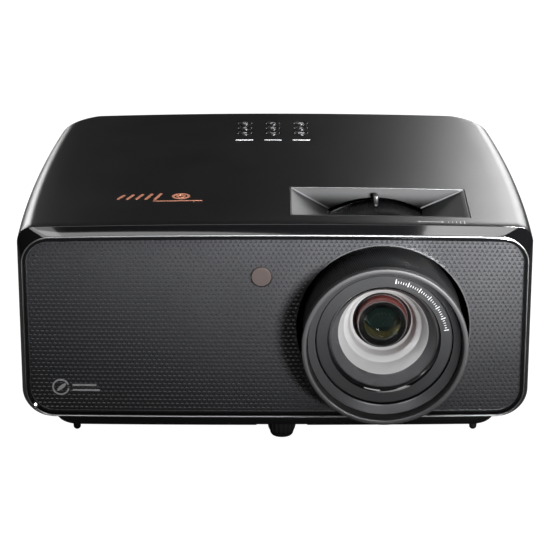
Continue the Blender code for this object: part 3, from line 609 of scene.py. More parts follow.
def make_underside():
    """A blank plate, the ceiling pads with their inserts, and screws under the base."""
    level = FOOT_HEIGHT
    shape = Shape()
    plate = rounded_rectangle(0.0, PLATE_Y, 0.088, 0.038, 0.003)
    shape.prism(plate, level + 0.0001, level + 0.0006, "plate_grey", "Z", 0.0001)
    for i in range(3):
        line = rounded_rectangle(-0.018, 0.079 + 0.011 * i, 0.04 - 0.006 * i, 0.0008, 0.0004)
        shape.prism(line, level - 0.00004, level + 0.0002, "grey_print", "Z")
    for x, y in CEILING_PADS:
        # The insert's threaded hole is a flat black disc: painted shade.
        pad = [
            (0, 0.0001, "baffle_black_and_recess_shade"), *band("brass", (0.0021, 0.0001), (0.0022, 0.0), (0.0034, 0.0)),
            *band("dark_plastic", (0.0035, 0.0001), (0.0036, 0.0), (0.0077, 0.0), (0.008, 0.0003),
                  (0.008, 0.0009), (0, 0.0009)),
        ]
        shape.turn(pad, Vector((x, y, CEILING_PAD_Z)), "Z", 48)
    for x, y in ((-0.135, -0.08), (0.128, -0.08), (-0.128, 0.045), (0.128, 0.045), (-0.06, 0.112),
                 (0.06, 0.112), (0.0, 0.02)):
        screw(shape, Vector((x, y, level)), "Z", -1, 0.003)
    shape.piece("underside_details", "steel")


def screw(shape, centre, axis, way, radius):
    """A pan-head screw whose cross recess is a thin black cross on its head, a painted shade; way is the
    side that its head faces.
    """
    head = [(0, -0.0008), (radius, -0.0008), (radius, 0.0002), (radius * 0.86, 0.0007),
            (radius * 0.45, 0.001), (0, 0.001)]
    shape.turn([(r, way * a, "steel") for r, a in head], centre, axis, 32)
    direction = {"X": Vector((1, 0, 0)), "Y": Vector((0, 1, 0)), "Z": Vector((0, 0, 1))}[axis] * way
    reach, thin = radius * 0.52, radius * 0.13
    # The cross recess is a thin black cross laid over the head, not a hollow: painted shade.
    for long_axis in range(3):
        if abs(direction[long_axis]) > 0.5:
            continue
        half = Vector((thin, thin, thin))
        half[long_axis] = reach
        half[[i for i in range(3) if abs(direction[i]) > 0.5][0]] = 0.00012
        at = centre + direction * 0.001
        shape.block(at - half, at + half, "baffle_black_and_recess_shade", 0.0)


def make_front_bezel():
    cover = (COVER_FRONT - GAP, half_width(COVER_FRONT), FLOOR_EDGE, BODY_TOP, BELLY_RADIUS,
             SHOULDER_RADIUS)
    ridge = (RIDGE, 0.1652, 0.0247, 0.1529, 0.0195, 0.0185)
    inner = (RIDGE + 0.0012, 0.1626, 0.0277, 0.1491, 0.0162, 0.0152)
    lip = (RIDGE + 0.0031, *inner[1:])
    pocket = (RIDGE + 0.0031, 0.1633, 0.0268, 0.1499, 0.0166, 0.016)
    tuck = WALL + GAP
    flange = (RIDGE + 0.014, cover[1] - tuck, FLOOR_EDGE + tuck, BODY_TOP - tuck, 0.0172, 0.0192)

    def row(loop, forward=0.0, draw_in=0.0):
        y, half, low, high, *radii = loop
        return front_loop(y - forward, half - draw_in, low + draw_in, high - draw_in, *radii)

    chamfer = [row(cover, -0.0003, 0.0003), row(cover, -0.0001, 0.0001), row(cover, 0.0001)]
    for share in (0.02, 0.05, 0.3, 0.5, 0.7, 0.94, 0.98):
        chamfer.append(row(between(cover, ridge, share), 0.0001 * math.sin(math.pi * share)))
    chamfer.append(row(ridge, -0.0001))
    bead_end = 0.34
    bead = [row(ridge, -0.0001)]
    for step in range(1, 8):
        share = step / 8
        bead.append(row(between(ridge, inner, bead_end * share), 0.0004 * math.sin(math.pi * share)))
    bead.append(row(between(ridge, inner, bead_end), -0.0003))
    rim = [bead[-1]] + [row(between(ridge, inner, share)) for share in (0.45, 0.65, 0.85, 0.97)]
    rim += [row(inner, -0.0003), row(lip), row(pocket), row((flange[0], *pocket[1:]))]
    back = [rim[-1], row(flange), row((cover[0] + 0.0006, *flange[1:])), chamfer[0]]
    shape = Shape()
    shape.grid(chamfer, "gloss_black")
    shape.grid(bead, "ridge_metal")
    shape.grid(rim, "gloss_black")
    shape.grid(back, "gloss_black")
    bmesh.ops.remove_doubles(shape.mesh, verts=shape.mesh.verts, dist=0.000001)
    shape.piece("front_bezel_frame", "gloss_black", replaces=["front_bezel"], angle=42)


def make_front_panel():
    """A plate with staggered three-sided dents."""
    pitch = 0.00327
    rise = pitch * math.sqrt(3) / 2
    half, low, high = 0.1629, 0.0272, 0.1495
    front, back = RIDGE + 0.0034, RIDGE + 0.0052
    columns, rows = int(2 * half / pitch) + 4, int((high - low) / rise) + 3
    start_x, start_z = -half - 2 * pitch, low - rise
    shape = Shape()
    verts = [[shape.mesh.verts.new((start_x + (i + 0.5 * (j % 2)) * pitch, front, start_z + j * rise))
              for i in range(columns)] for j in range(rows)]
    faces = []
    for j in range(rows - 1):
        for i in range(columns - 1):
            shift = j % 2
            a, b = verts[j][i], verts[j][i + 1]
            c, d = verts[j + 1][i], verts[j + 1][i + 1]
            upright, hanging = ((a, b, d), (a, d, c)) if shift else ((a, b, c), (b, d, c))
            faces.append(shape.mesh.faces.new(hanging))
            centre = sum((vert.co for vert in upright), Vector()) / 3
            rims = []
            for share, depth in ((0.8, 0.0), (0.24, 0.00055)):
                moved = Vector((0, depth, 0)) + centre
                rims.append([shape.mesh.verts.new(moved + (vert.co - centre) * share) for vert in upright])
            for first, second in ((list(upright), rims[0]), (rims[0], rims[1])):
                for k in range(3):
                    faces.append(shape.mesh.faces.new((first[k], first[(k + 1) % 3],
                                                       second[(k + 1) % 3], second[k])))
            faces.append(shape.mesh.faces.new(rims[1]))
    border = [verts[0][i] for i in range(columns)] + [verts[j][-1] for j in range(1, rows)]
    border += [verts[-1][i] for i in range(columns - 2, -1, -1)]
    border += [verts[j][0] for j in range(rows - 2, 0, -1)]
    rear = [shape.mesh.verts.new((vert.co.x, back, vert.co.z)) for vert in border]
    for i, vert in enumerate(border):
        j = (i + 1) % len(border)
        faces.append(shape.mesh.faces.new((vert, border[j], rear[j], rear[i])))
    faces.append(shape.mesh.faces.new(rear))
    shape.paint(faces, "charcoal")
    panel = shape.piece("front_panel_plate", "charcoal", replaces=["front_panel"], angle=12)

    outline = Shape()
    flat = [(x, z + crown(x, z)) for x, _, z in front_loop(0.0, half, low, high, 0.0162, 0.0156)]
    outline.prism(flat, front - 0.001, back + 0.001, "charcoal")
    cut(panel, outline, "INTERSECT", 12)
    holes = Shape()
    for x, z, radius, segments in ((LENS.x, LENS.z, LENS_HOLE_RADIUS, 160),
                                   (RECEIVER.x, RECEIVER.z, RECEIVER_RADIUS + GAP, 64)):
        holes.prism(circle(x, z, radius, segments), front - 0.002, back + 0.002, "charcoal")
    cut(panel, holes, angle=12)
    for vert in panel.data.vertices:
        x, y, z = vert.co
        vert.co = (x, y + front_bow(x), z - crown(x, z))

    # A bead along the panel's border in the lighter edge finish: it catches light, and its lighter colour
    # is painted highlight.
    edge = Shape()
    loops = []
    for step in range(8):
        angle = math.tau * step / 8
        bead = 0.00034
        draw_in = bead * math.cos(angle)
        loops.append(front_loop(front - 0.0002 + bead * math.sin(angle), 0.1622 - draw_in, 0.0281 + draw_in,
                                0.1487 - draw_in, 0.0158, 0.0148))
    edge.grid(loops, "edge_painted_highlight", along=True)
    edge.piece("front_panel_edge", "charcoal")

    # A ring round the lens opening, its front face in the lighter edge finish: painted highlight.
    mouth = Shape()
    radius = LENS_HOLE_RADIUS
    mouth.turn([
        *band("edge_painted_highlight", (radius - 0.0002, 0.003), (radius + 0.0006, 0.003)),
        *band("baffle_black_and_recess_shade", (radius + 0.0006, 0.005), (radius - 0.0002, 0.005)),
    ],
               Vector((LENS.x, RIDGE + front_bow(LENS.x), LENS.z)), segments=160)
    mouth.piece("lens_opening_edge", "charcoal")


def make_receiver_window():
    radius = RECEIVER_RADIUS
    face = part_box("receiver_window")[0].y
    profile = [(0, 0.0003), (radius * 0.5, 0.0002), (radius - 0.001, 0.0), (radius - 0.0005, 0.0001),
               (radius - 0.0001, 0.0006), (radius, 0.0012), (radius, 0.0044), (0, 0.0044)]
    lathe("receiver_disc", "receiver", "root", ["receiver_window"], band("receiver", *profile), 96,
          Vector((RECEIVER.x, face, RECEIVER.z)))


def make_zoom_tray():
    """A hopper: sloping ends between upright walls, arched to clear the zoom ring, with light mitres:
    rounded strips in a lighter finish, a painted highlight.
    """
    wall = 0.0012
    shape = Shape()

    def loop(x_range, z, grow_x=0.0, grow_y=0.0, steps=16):
        left, right = x_range[0] - grow_x, x_range[1] + grow_x
        near, far = TRAY_Y[0] - grow_y, TRAY_Y[1] + grow_y
        row = [(left + (right - left) * i / steps, near) for i in range(steps + 1)]
        row += [(x, far) for x, _ in reversed(row)]
        return [(x, y, z - crown(x, z)) for x, y in row]

    top = BODY_TOP
    rows = [loop(TRAY_X, top - 0.004), loop(TRAY_X, top - 0.0003), loop(TRAY_X, top, -0.0003, -0.0003),
            loop(TRAY_X, top, 0.0003 - wall, 0.0003 - wall), loop(TRAY_X, top - 0.0003, -wall, -wall)]
    depth = 12
    for step in range(1, depth + 1):
        share = step / depth
        x_range = between([TRAY_X[0] + wall, TRAY_X[1] - wall], TRAY_WINDOW_X, share)
        rows.append(loop(x_range, top - 0.0003 + (TRAY_BOTTOM - top + 0.0003) * share, 0.0, -wall))
    rows.append(loop(TRAY_WINDOW_X, TRAY_BOTTOM - 0.001, wall, 0.0))
    shape.grid(rows, "tray_black", along=True)
    tray = shape.piece("zoom_tray_hopper", "dark_plastic", replaces=["zoom_tray"])
    arch = Shape()
    arch.prism(circle(TRAY_ARCH_X, LENS.z, TRAY_ARCH_RADIUS, 180), RIDGE - 0.03, RIDGE + 0.13, "baffle_black_and_recess_shade")
    cut(tray, arch)

    # Rounded strips along the four mitres, lighter than the tray: painted highlight on edges that also
    # catch light.
    strips = Shape()
    width = 0.0011
    for y, inward in ((TRAY_Y[1] - wall, -1), (TRAY_Y[0] + wall, 1)):
        for start_x, end_x in ((TRAY_X[0] + wall, TRAY_WINDOW_X[0]), (TRAY_X[1] - wall, TRAY_WINDOW_X[1])):
            side = 1 if end_x > start_x else -1
            start = Vector((start_x, y, top_at(start_x) - 0.0004))
            end = Vector((end_x, y, TRAY_BOTTOM + 0.0004))
            outline = []
            for point in (start, end):
                outline.append([point + Vector((-side * 0.0002, -inward * 0.0003, -0.0004)),
                                point + Vector((side * width * 1.2, -inward * 0.0001, -0.0002)),
                                point + Vector((side * width * 0.7, inward * width * 0.5, 0.0004)),
                                point + Vector((-side * 0.0002, inward * width, 0.0001)),
                                point + Vector((-side * 0.0004, inward * width * 0.5, -0.0006))])
            strips.grid(outline, "tray_edge_painted_highlight", caps=True)
    # A light strip along the rear top edge: painted highlight as well.
    rear = TRAY_Y[1] - 0.0006
    bar = []
    for x in [TRAY_X[0] + 0.001 + (TRAY_X[1] - TRAY_X[0] - 0.002) * i / 12 for i in range(13)]:
        level = top_at(x, 0.0001)
        bar.append([(x, rear - 0.0004, level - 0.0006), (x, rear + 0.0004, level - 0.0006),
                    (x, rear + 0.0003, level), (x, rear - 0.0003, level)])
    strips.grid(bar, "tray_edge_painted_highlight", caps=True)
    strips.piece("zoom_tray_edges", "dark_plastic")


def make_side_grilles():
    """Louvred plates that follow the sides, with upright stiffeners."""
    y_low, y_high = GRILLE_Y[0] + 0.0005, GRILLE_Y[1] - 0.0005
    z_low, z_high = GRILLE_Z[0] + 0.0005, GRILLE_Z[1] - 0.0005
    steps = 24
    border, louvres = 0.0038, 13
    for name, side in (("side_grille_left", -1), ("side_grille_right", 1)):
        shape = Shape()

        def bar(y_range, z_range, tilt, outward):
            rows = []
            for i in range(steps + 1):
                y = y_range[0] + (y_range[1] - y_range[0]) * i / steps
                outer = half_width(y) - outward
                inner = half_width(y) - WALL - 0.001
                low, high = z_range
                soft = 0.0003
                rows.append([(side * x, y, z) for x, z in (
                    (outer - soft, low), (outer, low + soft), (outer, high - soft), (outer - soft, high),
                    (inner, high + tilt), (inner, low + tilt))])
            shape.grid(rows, "dark_plastic", caps=True)

        for z_range in ((z_low, z_low + border), (z_high - border, z_high)):
            bar((y_low, y_high), z_range, 0.0, 0.0004)
        for y_range in ((y_low, y_low + border), (y_high - border, y_high)):
            bar(y_range, (z_low + border, z_high - border), 0.0, 0.0004)
        pitch = (z_high - z_low - 2 * border) / louvres
        for i in range(louvres):
            z = z_low + border + pitch * (i + 0.32)
            bar((y_low + border, y_high - border), (z, z + pitch * 0.42), 0.0011, 0.0006)
        for i in range(1, 5):
            y = y_low + (y_high - y_low) * i / 5
            bar((y - 0.0007, y + 0.0007), (z_low + border, z_high - border), 0.0, 0.0014)
        shape.piece(f"{name}_louvres", "dark_plastic", replaces=[name])


# ---- Rear panel ------------------------------------------------------------

def make_rear_panel():
    low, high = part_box("rear_panel")
    face = high.y
    shape = Shape()
    shape.block(low, high, "dark_plastic", 0.0004)
    panel = shape.piece("rear_panel_plate", "dark_plastic", replaces=["rear_panel"])
    holes = Shape()
    outlines = []
    for name in SOCKETS:
        socket_low, socket_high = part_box(name)
        centre, size = middle(name), socket_high - socket_low
        outlines.append(rounded_rectangle(centre.x, centre.z, size.x + 2 * GAP, size.z + 2 * GAP, 0.0012))
    jack = middle("audio_jack")
    outlines.append(circle(jack.x, jack.z, 0.0048, 40))
    outlines.append(rounded_rectangle(*LOCK_SLOT, 0.0072, 0.0032, 0.0012))
    outlines += [rounded_rectangle(-0.056 + 0.013 * i, 0.0985, 0.009, 0.0022, 0.0011) for i in range(9)]
    for outline in outlines:
        holes.prism(outline, low.y - 0.01, face + 0.01, "dark_plastic")
    cut(panel, holes)

    details = Shape()
    for x, z in ((-0.112, 0.106), (-0.112, 0.063), (0.112, 0.106), (0.112, 0.063),
                 (0.044, 0.1)):
        screw(details, Vector((x, face, z)), "Y", 1, 0.0026)
    outer = rounded_rectangle(*LOCK_SLOT, 0.01, 0.006, 0.002)
    inner = rounded_rectangle(*LOCK_SLOT, 0.007, 0.003, 0.0012)
    details.tube(outer, inner, face - 0.0002, face + 0.0004, face - 0.003, "steel", 0.0001)
    details.block((-0.07, face - 0.0002, 0.0874), (0.088, face + 0.0001, 0.0877), "grey_print", 0.0)
    details.piece("rear_panel_details", "steel")


def socket_box(name):
    """Corners of a socket's box, and the middle of its face."""
    low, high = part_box(name)
    return low, high, (low.x + high.x) / 2, (low.z + high.z) / 2


def make_ac_inlet():
    low, high, x, z = socket_box("ac_inlet")
    shape = Shape()
    outer = rounded_rectangle(x, z, high.x - low.x, high.z - low.z, 0.0012)
    inner = rounded_rectangle(x, z, 0.0246, 0.0168, 0.002)
    shape.tube(outer, inner, low.y, high.y, high.y - 0.015, "black_metal", 0.0005)
    for blade_x, blade_z in ((x - 0.007, z - 0.0015), (x, z + 0.0025), (x + 0.007, z - 0.0015)):
        shape.block((blade_x - 0.001, high.y - 0.0165, blade_z - 0.0026),
                    (blade_x + 0.001, high.y - 0.003, blade_z + 0.0026), "steel", 0.0006, 3)
    for corner in (-1, 1):
        centre = x + corner * 0.0112
        triangle = [(centre - corner * 0.0024, z + 0.0083), (centre + corner * 0.001, z + 0.0083),
                    (centre + corner * 0.001, z + 0.0049)]
        shape.prism(triangle, high.y - 0.015, high.y - 0.0008, "black_metal")
    shape.piece("ac_inlet_socket_body", "black_metal", replaces=["ac_inlet"])


def make_small_ports():
    for name, cavity, tongue, chamfer in (("hdmi_port_1", (0.0144, 0.005), 0.0016, 0.0016),
                                          ("hdmi_port_2", (0.0144, 0.005), 0.0016, 0.0016),
                                          ("usb_port", (0.0126, 0.0052), 0.0018, 0.0)):
        low, high, x, z = socket_box(name)
        shape = Shape()
        outlines = []
        for width, height in ((high.x - low.x, high.z - low.z), cavity):
            outline = rounded_rectangle(x, z, width, height, 0.0005, 3)
            outlines.append([(u + (chamfer if u < x else -chamfer) * max(0.0, (z - v) / height - 0.2), v)
                             for u, v in outline])
        shape.tube(*outlines, low.y, high.y, high.y - 0.0095, "steel", 0.0003)
        across = cavity[0] / 2 - 0.0018
        shape.block((x - across, high.y - 0.0105, z - tongue / 2 + 0.0002),
                    (x + across, high.y - 0.0008, z + tongue / 2), "baffle_black_and_recess_shade", 0.0002)
        for i in range(8):
            pin = x - across + 0.001 + (2 * across - 0.002) * i / 7
            shape.block((pin - 0.0003, high.y - 0.007, z - tongue / 2),
                        (pin + 0.0003, high.y - 0.0016, z - tongue / 2 + 0.0003), "gold", 0.0)
        shape.piece(f"{name}_shell", "steel", replaces=[name])


def make_lan_port():
    low, high, x, z = socket_box("lan_port")
    shape = Shape()
    outer = rounded_rectangle(x, z, high.x - low.x, high.z - low.z, 0.0006, 2)
    width, height = 0.0118, 0.009
    inner = rounded_rectangle(x, z, width, height, 0.0004, 2)
    shape.tube(outer, inner, low.y, high.y, high.y - 0.012, "steel", 0.0003)
    for i in range(8):
        pin = x - 0.0036 + 0.00102 * i
        shape.block((pin - 0.0002, high.y - 0.01, z + 0.0016), (pin + 0.0002, high.y - 0.004, z + 0.002),
                    "gold", 0.0, turn=Matrix.Rotation(math.radians(-16), 4, "X"))
    for side in (-1, 1):
        tab, lamp = x + side * 0.0045, x + side * 0.0064
        shape.block((tab - 0.0014, high.y - 0.003, z - height / 2 - 0.0001),
                    (tab + 0.0014, high.y - 0.0004, z - height / 2 + 0.0014), "baffle_black_and_recess_shade", 0.0002)
        shape.block((lamp - 0.0011, high.y - 0.0008, z + 0.0046),
                    (lamp + 0.0011, high.y + 0.0001, z + 0.006),
                    "phosphor" if side > 0 else "circuit_green", 0.0002)
    shape.piece("lan_port_shell", "black_metal", replaces=["lan_port"])


def make_serial_port():
    low, high, x, z = socket_box("serial_port")
    face = high.y
    shape = Shape()
    shape.block((low.x, low.y, low.z), (high.x, face - 0.0045, high.z), "steel", 0.0006)

    def shell(width, height):
        outline = rounded_rectangle(x, z, width, height, 0.0018)
        return [(u + (0.001 if u < x else -0.001) * max(0.0, (z - v) / height + 0.5), v)
                for u, v in outline]

    shape.tube(shell(0.0184, 0.0094), shell(0.0172, 0.0082), face - 0.005, face, face - 0.0045, "steel",
               0.0002)
    for row, count in ((0.0014, 5), (-0.0014, 4)):
        for i in range(count):
            pin = x + (i - (count - 1) / 2) * 0.00277
            profile = [(0, -0.005), (0.0005, -0.005), (0.0005, -0.0014), (0.0003, -0.0009), (0, -0.0009)]
            shape.turn(band("gold", *profile), Vector((pin, face, z + row)), "Y", 12)
    for side in (-1, 1):
        nut = [
            *band("steel", (0, -0.0048), (0.0027, -0.0048), (0.0027, -0.0006)),
            *band("baffle_black_and_recess_shade", (0.0022, -0.0001), (0.0014, -0.0001), (0.0014, -0.003), (0, -0.003)),
        ]
        shape.turn(nut, Vector((x + side * 0.0125, face, z)), "Y", 6)
    shape.piece("serial_port_shell", "steel", replaces=["serial_port"], angle=35)


def make_audio_jack():
    low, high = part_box("audio_jack")
    centre = Vector(((low.x + high.x) / 2, high.y, (low.z + high.z) / 2))
    length = high.y - low.y
    profile = [
        *band("dark_plastic", (0, -length), (0.0045, -length), (0.0045, -0.0004), (0.0041, 0.0)),
        *band("gold", (0.003, 0.0), (0.0027, -0.0002), (0.0019, -0.0002)),
        *band("baffle_black_and_recess_shade", (0.0018, -0.0008), (0.0018, -0.014), (0, -0.014)),
    ]
    lathe("audio_jack_socket", "dark_plastic", "root", ["audio_jack"], profile, 48, centre)


# ---- Marks -----------------------------------------------------------------

def draw_on_top(shape, outline, finish, thickness=0.00006):
    """A flat printed shape on the curved top, from (x, y) points."""
    rows = [[(x, y, top_at(x, lift)) for x, y in outline] for lift in (-0.0002, thickness)]
    shape.grid(rows, finish, caps=True)


def draw_on_front(shape, outline, finish):
    """A flat printed shape on the bowed front panel, from (x, z) points."""
    face = RIDGE + 0.0034
    rows = [[(x, face + front_bow(x) + back, z) for x, z in outline] for back in (0.0002, -0.00012)]
    shape.grid(rows, finish, caps=True)


def stroke(start, end, width, steps=3):
    """Outline of a line with rounded ends."""
    start, end = Vector(start), Vector(end)
    angle = math.atan2(end.y - start.y, end.x - start.x)
    points = []
    for centre, turn in ((end, -math.pi / 2), (start, math.pi / 2)):
        for step in range(steps + 1):
            a = angle + turn + math.pi * step / steps
            points.append((centre.x + width / 2 * math.cos(a), centre.y + width / 2 * math.sin(a)))
    return points


def ring_strip(x, y, radius, width, start=0.0, sweep=math.tau, steps=40):
    """Outlines of the short pieces that make up a flat arc or ring."""
    pieces = []
    for i in range(steps):
        a, b = (start + sweep * (i + k) / steps for k in (0, 1))
        pieces.append([(x + r * math.cos(t), y + r * math.sin(t))
                       for r, t in ((radius - width / 2, a), (radius + width / 2, a),
                                    (radius + width / 2, b), (radius - width / 2, b))])
    return pieces


def make_top_marks():
    """A plain copper mark of slanted bars, and the zoom scale beside the tray."""
    mark = Shape()
    start_x, y = -0.105, RIDGE + 0.065
    for i in range(5):
        x = start_x + 0.0062 * i
        length = 0.0074 + 0.001 * i
        draw_on_top(mark, stroke((x, y - length / 2), (x + 0.0036, y + length / 2), 0.0021, 4), "copper")
    for radius, shift in ((0.0052, 0.0), (0.0024, 0.0)):
        for outline in ring_strip(start_x + 0.042, y + shift, radius, 0.0017, steps=36):
            draw_on_top(mark, outline, "copper")
    underline = y - 0.0096
    draw_on_top(mark, stroke((start_x + 0.024, underline), (start_x + 0.056, underline), 0.0013), "copper")
    mark.piece("top_mark", "satin_black")

    scale = Shape()
    y = RIDGE + 0.0137
    draw_on_top(scale, stroke((0.095, y), (0.108, y), 0.0004), "grey_print")
    for x, way in ((0.094, -1), (0.109, 1)):
        draw_on_top(scale, [(x + way * 0.0012, y), (x - way * 0.0006, y + 0.0016),
                            (x - way * 0.0006, y - 0.0016)], "grey_print")
    for i in range(5):
        x = 0.113 + 0.0026 * i
        draw_on_top(scale, stroke((x, y - 0.0008 - 0.0004 * i), (x, y + 0.0008 + 0.0004 * i), 0.0005),
                    "grey_print")
    scale.piece("zoom_scale", "satin_black")


def make_front_mark():
    """A small round mark and two bars at the lower left of the front."""
    shape = Shape()
    x, z = -0.1421, 0.0444
    for outline in ring_strip(x, z, 0.0052, 0.0011, 0.35, math.tau - 0.5, 48):
        draw_on_front(shape, outline, "grey_print")
    leaf = [(x + 0.003 * math.cos(a) + 0.0006, z + 0.0016 * math.sin(a) + 0.0022 * math.cos(a))
            for a in [math.tau * i / 20 for i in range(20)]]
    draw_on_front(shape, leaf, "grey_print")
    for row, length in ((0.0016, 0.015), (-0.002, 0.0172)):
        draw_on_front(shape, stroke((x + 0.0082, z + row), (x + 0.0082 + length, z + row), 0.0012),
                      "grey_print")
    shape.piece("front_mark", "charcoal")


# ---- Keypad ----------------------------------------------------------------

def key_icon(name, x, y):
    """Outlines of a key's plain symbol: arrows, a ring, a power sign or lines."""
    size = 0.002
    arrows = {"key_rear_centre": (0, 1), "key_front_centre": (0, -1), "key_middle_left": (-1, 0),
              "key_middle_right": (1, 0)}
    if name in arrows:
        along = Vector(arrows[name])
        across = Vector((-along.y, along.x))
        middle_point = Vector((x, y))
        tip = middle_point + along * size * 0.7
        tails = [middle_point - along * size * 0.5 + across * size * side for side in (-1, 1)]
        return [stroke(tip, tail, 0.0006) for tail in tails]
    if name == "key_rear_left":
        arc = ring_strip(x, y, size * 0.85, 0.0006, math.radians(125), math.radians(290), 20)
        return arc + [stroke((x, y + size * 0.25), (x, y + size * 1.15), 0.0006)]
    if name == "key_middle_centre":
        return ring_strip(x, y, size * 0.8, 0.0006, steps=24)
    if name == "key_front_right":
        return [stroke((x - size, y + row), (x + size, y + row), 0.0005) for row in (-0.0011, 0.0, 0.0011)]
    if name == "key_rear_right":
        return [stroke((x - size, y - 0.001), (x + size, y - 0.001), 0.0006),
                stroke((x - size * 0.6, y + 0.0004), (x, y + 0.0014), 0.0006),
                stroke((x + size * 0.6, y + 0.0004), (x, y + 0.0014), 0.0006)]
    return [stroke((x + size * 0.7, y), (x - size * 0.8, y), 0.0006),
            stroke((x - size * 0.8, y), (x - size * 0.1, y + 0.0011), 0.0006),
            stroke((x - size * 0.8, y), (x - size * 0.1, y - 0.0011), 0.0006)]


def make_keys():
    for name, centre in KEYS.items():
        radius = KEY_RADIUS
        flange = BODY_TOP - WALL - 0.0006 - KEY_TOP
        profile = [(0, -0.0003), (radius * 0.5, -0.00024), (radius * 0.8, -0.00006), (radius - 0.0008, 0.0),
                   (radius - 0.0003, -0.0001), (radius - 0.0001, -0.0003), (radius, -0.0007),
                   (radius, flange), (radius + 0.0008, flange), (radius + 0.0008, flange - 0.0008),
                   (0.0018, flange - 0.0008), (0.0018, 0.1512 - KEY_TOP), (0, 0.1512 - KEY_TOP)]
        shape = Shape()
        shape.turn(band("satin_black", *profile), Vector((centre.x, centre.y, KEY_TOP)), "Z", 48)
        for outline in key_icon(name, centre.x, centre.y):
            rows = [[(x, y, KEY_TOP + lift) for x, y in outline] for lift in (-0.0005, -0.00008)]
            shape.grid(rows, "key_print", caps=True)
        shape.piece(f"{name}_cap", "satin_black", body=f"{name}_body", replaces=[name])


def make_light_bars():
    low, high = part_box("status_light_pipe")
    web_top = BODY_TOP - WALL - 0.0008
    shape = Shape()
    shape.block(low, (high.x, high.y, web_top), "white_light", 0.0003)
    for x in LIGHT_BAR_X:
        bar = rounded_rectangle(x, LIGHT_BAR_Y, *LIGHT_BAR_SIZE, 0.0006, 5)
        shape.prism(bar, web_top - 0.0008, BODY_TOP, "white_light", "Z", 0.0002)
    shape.piece("status_light_bars", "white_light", replaces=["status_light_pipe"])


# ---- Lens ------------------------------------------------------------------

def make_focus_ring():
    shape = Shape()
    # The thin band at the rim's inner edge is in the lighter edge finish: painted highlight.
    rim = [
        (0.0499, 0.02, "black_metal"), (0.0499, -0.0252, "baffle_black_and_recess_shade"),
        *band("edge_painted_highlight", (0.0507, -0.0324), (0.0509, -0.0328)),
        *band("rim_grey", (0.0512, -0.033), (0.0532, -0.033), (0.0536, -0.0328), (0.0538, -0.0324),
              (0.0538, -0.0276)),
        *band("black_metal", (0.0535, -0.0271), (0.0516, -0.0268), (0.0516, 0.02)),
    ]
    shape.turn(rim, LENS, segments=192)
    sleeve = [
        *band("black_metal", (0.0512, -0.0269), (0.0521, -0.0266)),
        *band("rib_black", (0.0525, -0.0258), (0.0525, 0.0192)),
        *band("black_metal", (0.052, 0.0198), (0.0512, 0.0198)),
    ]
    shape.turn(sleeve, LENS, ribs=240, depth=0.00095, slant=3.0)
    shape.piece("focus_ring_grip", "black_metal", "focus", ["focus_ring"], angle=35)


def make_lens_cell():
    # The narrow band on the step inside the cell is in the lighter edge finish: painted highlight.
    profile = [
        *band("black_metal", (0.0437, 0.05), (0.0437, 0.0223), (0.0496, 0.0223)),
        *band("cell_grey", (0.0496, -0.0251), (0.0492, -0.0252)),
        *band("edge_painted_highlight", (0.0455, -0.0203), (0.0452, -0.02)),
        *band("baffle_black_and_recess_shade", (0.0449, -0.0196), (0.0449, -0.0145), (0.0379, -0.0145), (0.0379, -0.009),
              (0.0455, -0.009), (0.0455, 0.02), (0.021, 0.02), (0.021, 0.026)),
        *band("black_metal", (0.04, 0.028), (0.04, 0.05)),
    ]
    lathe("lens_cell_body", "black_metal", "lens", ["lens_cell"], profile)


def make_trim_ring():
    """The grey ring around the funnel: a gloss chamfer inside, and a printed scale on its face."""
    shape = Shape()
    profile = [
        *band("gloss_black", (0.0344, -0.0153), (0.0345, -0.0156), (0.0366, -0.0177)),
        *band("trim_grey", (0.0369, -0.018), (0.0437, -0.018)),
        *band("baffle_black_and_recess_shade", (0.0442, -0.0176), (0.0442, -0.0148), (0.0344, -0.0148)),
    ]
    shape.turn(profile, LENS, segments=192)
    face = LENS.y - 0.018
    for i in range(31):
        angle = math.radians(80 - 2.35 * i)
        long_tick = i % 5 == 0
        inner, outer = 0.0398 - 0.0006 * long_tick, 0.0413 + 0.001 * long_tick
        half = 0.00026 if long_tick else 0.00018
        along = Vector((math.cos(angle), math.sin(angle)))
        across = Vector((-along.y, along.x))
        corners = [along * inner - across * half, along * outer - across * half,
                   along * outer + across * half, along * inner + across * half]
        rows = [[(LENS.x + c.x, face + back, LENS.z + c.y) for c in corners] for back in (0.0002, -0.00006)]
        shape.grid(rows, "white_print", caps=True)
    shape.piece("trim_ring_scale", "trim_grey", "lens", ["lens_trim_ring"])


def make_funnel():
    """The silver cone that narrows to the front lens: a grooved mouth and three bright steps."""
    mouth = []
    start, end = Vector((0.0343, -0.014)), Vector((0.0298, -0.0048))
    grooves = 9
    for i in range(grooves):
        for share, sink in ((0.0, 0.0), (0.72, 0.0), (0.86, 0.00016)):
            point = start.lerp(end, (i + share) / grooves)
            mouth.append((point.x + sink, point.y, "silver_grain"))
    profile = mouth + [
        *band("silver", (0.0296, -0.0045), (0.0292, -0.0041), (0.0259, 0.0062), (0.0256, 0.0067),
              (0.0252, 0.007), (0.0229, 0.0096), (0.0226, 0.0101), (0.0222, 0.0108), (0.0212, 0.016),
              (0.0209, 0.0166)), *band("baffle_black_and_recess_shade", (0.0194, 0.0176), (0.0176, 0.019)),
        *band("black_metal", (0.0176, 0.0197), (0.03, 0.0197), (0.03, 0.01), (0.0376, -0.008),
              (0.0376, -0.0142)),
    ]
    lathe("lens_funnel_cone", "silver", "lens", ["lens_funnel"], profile, 192)


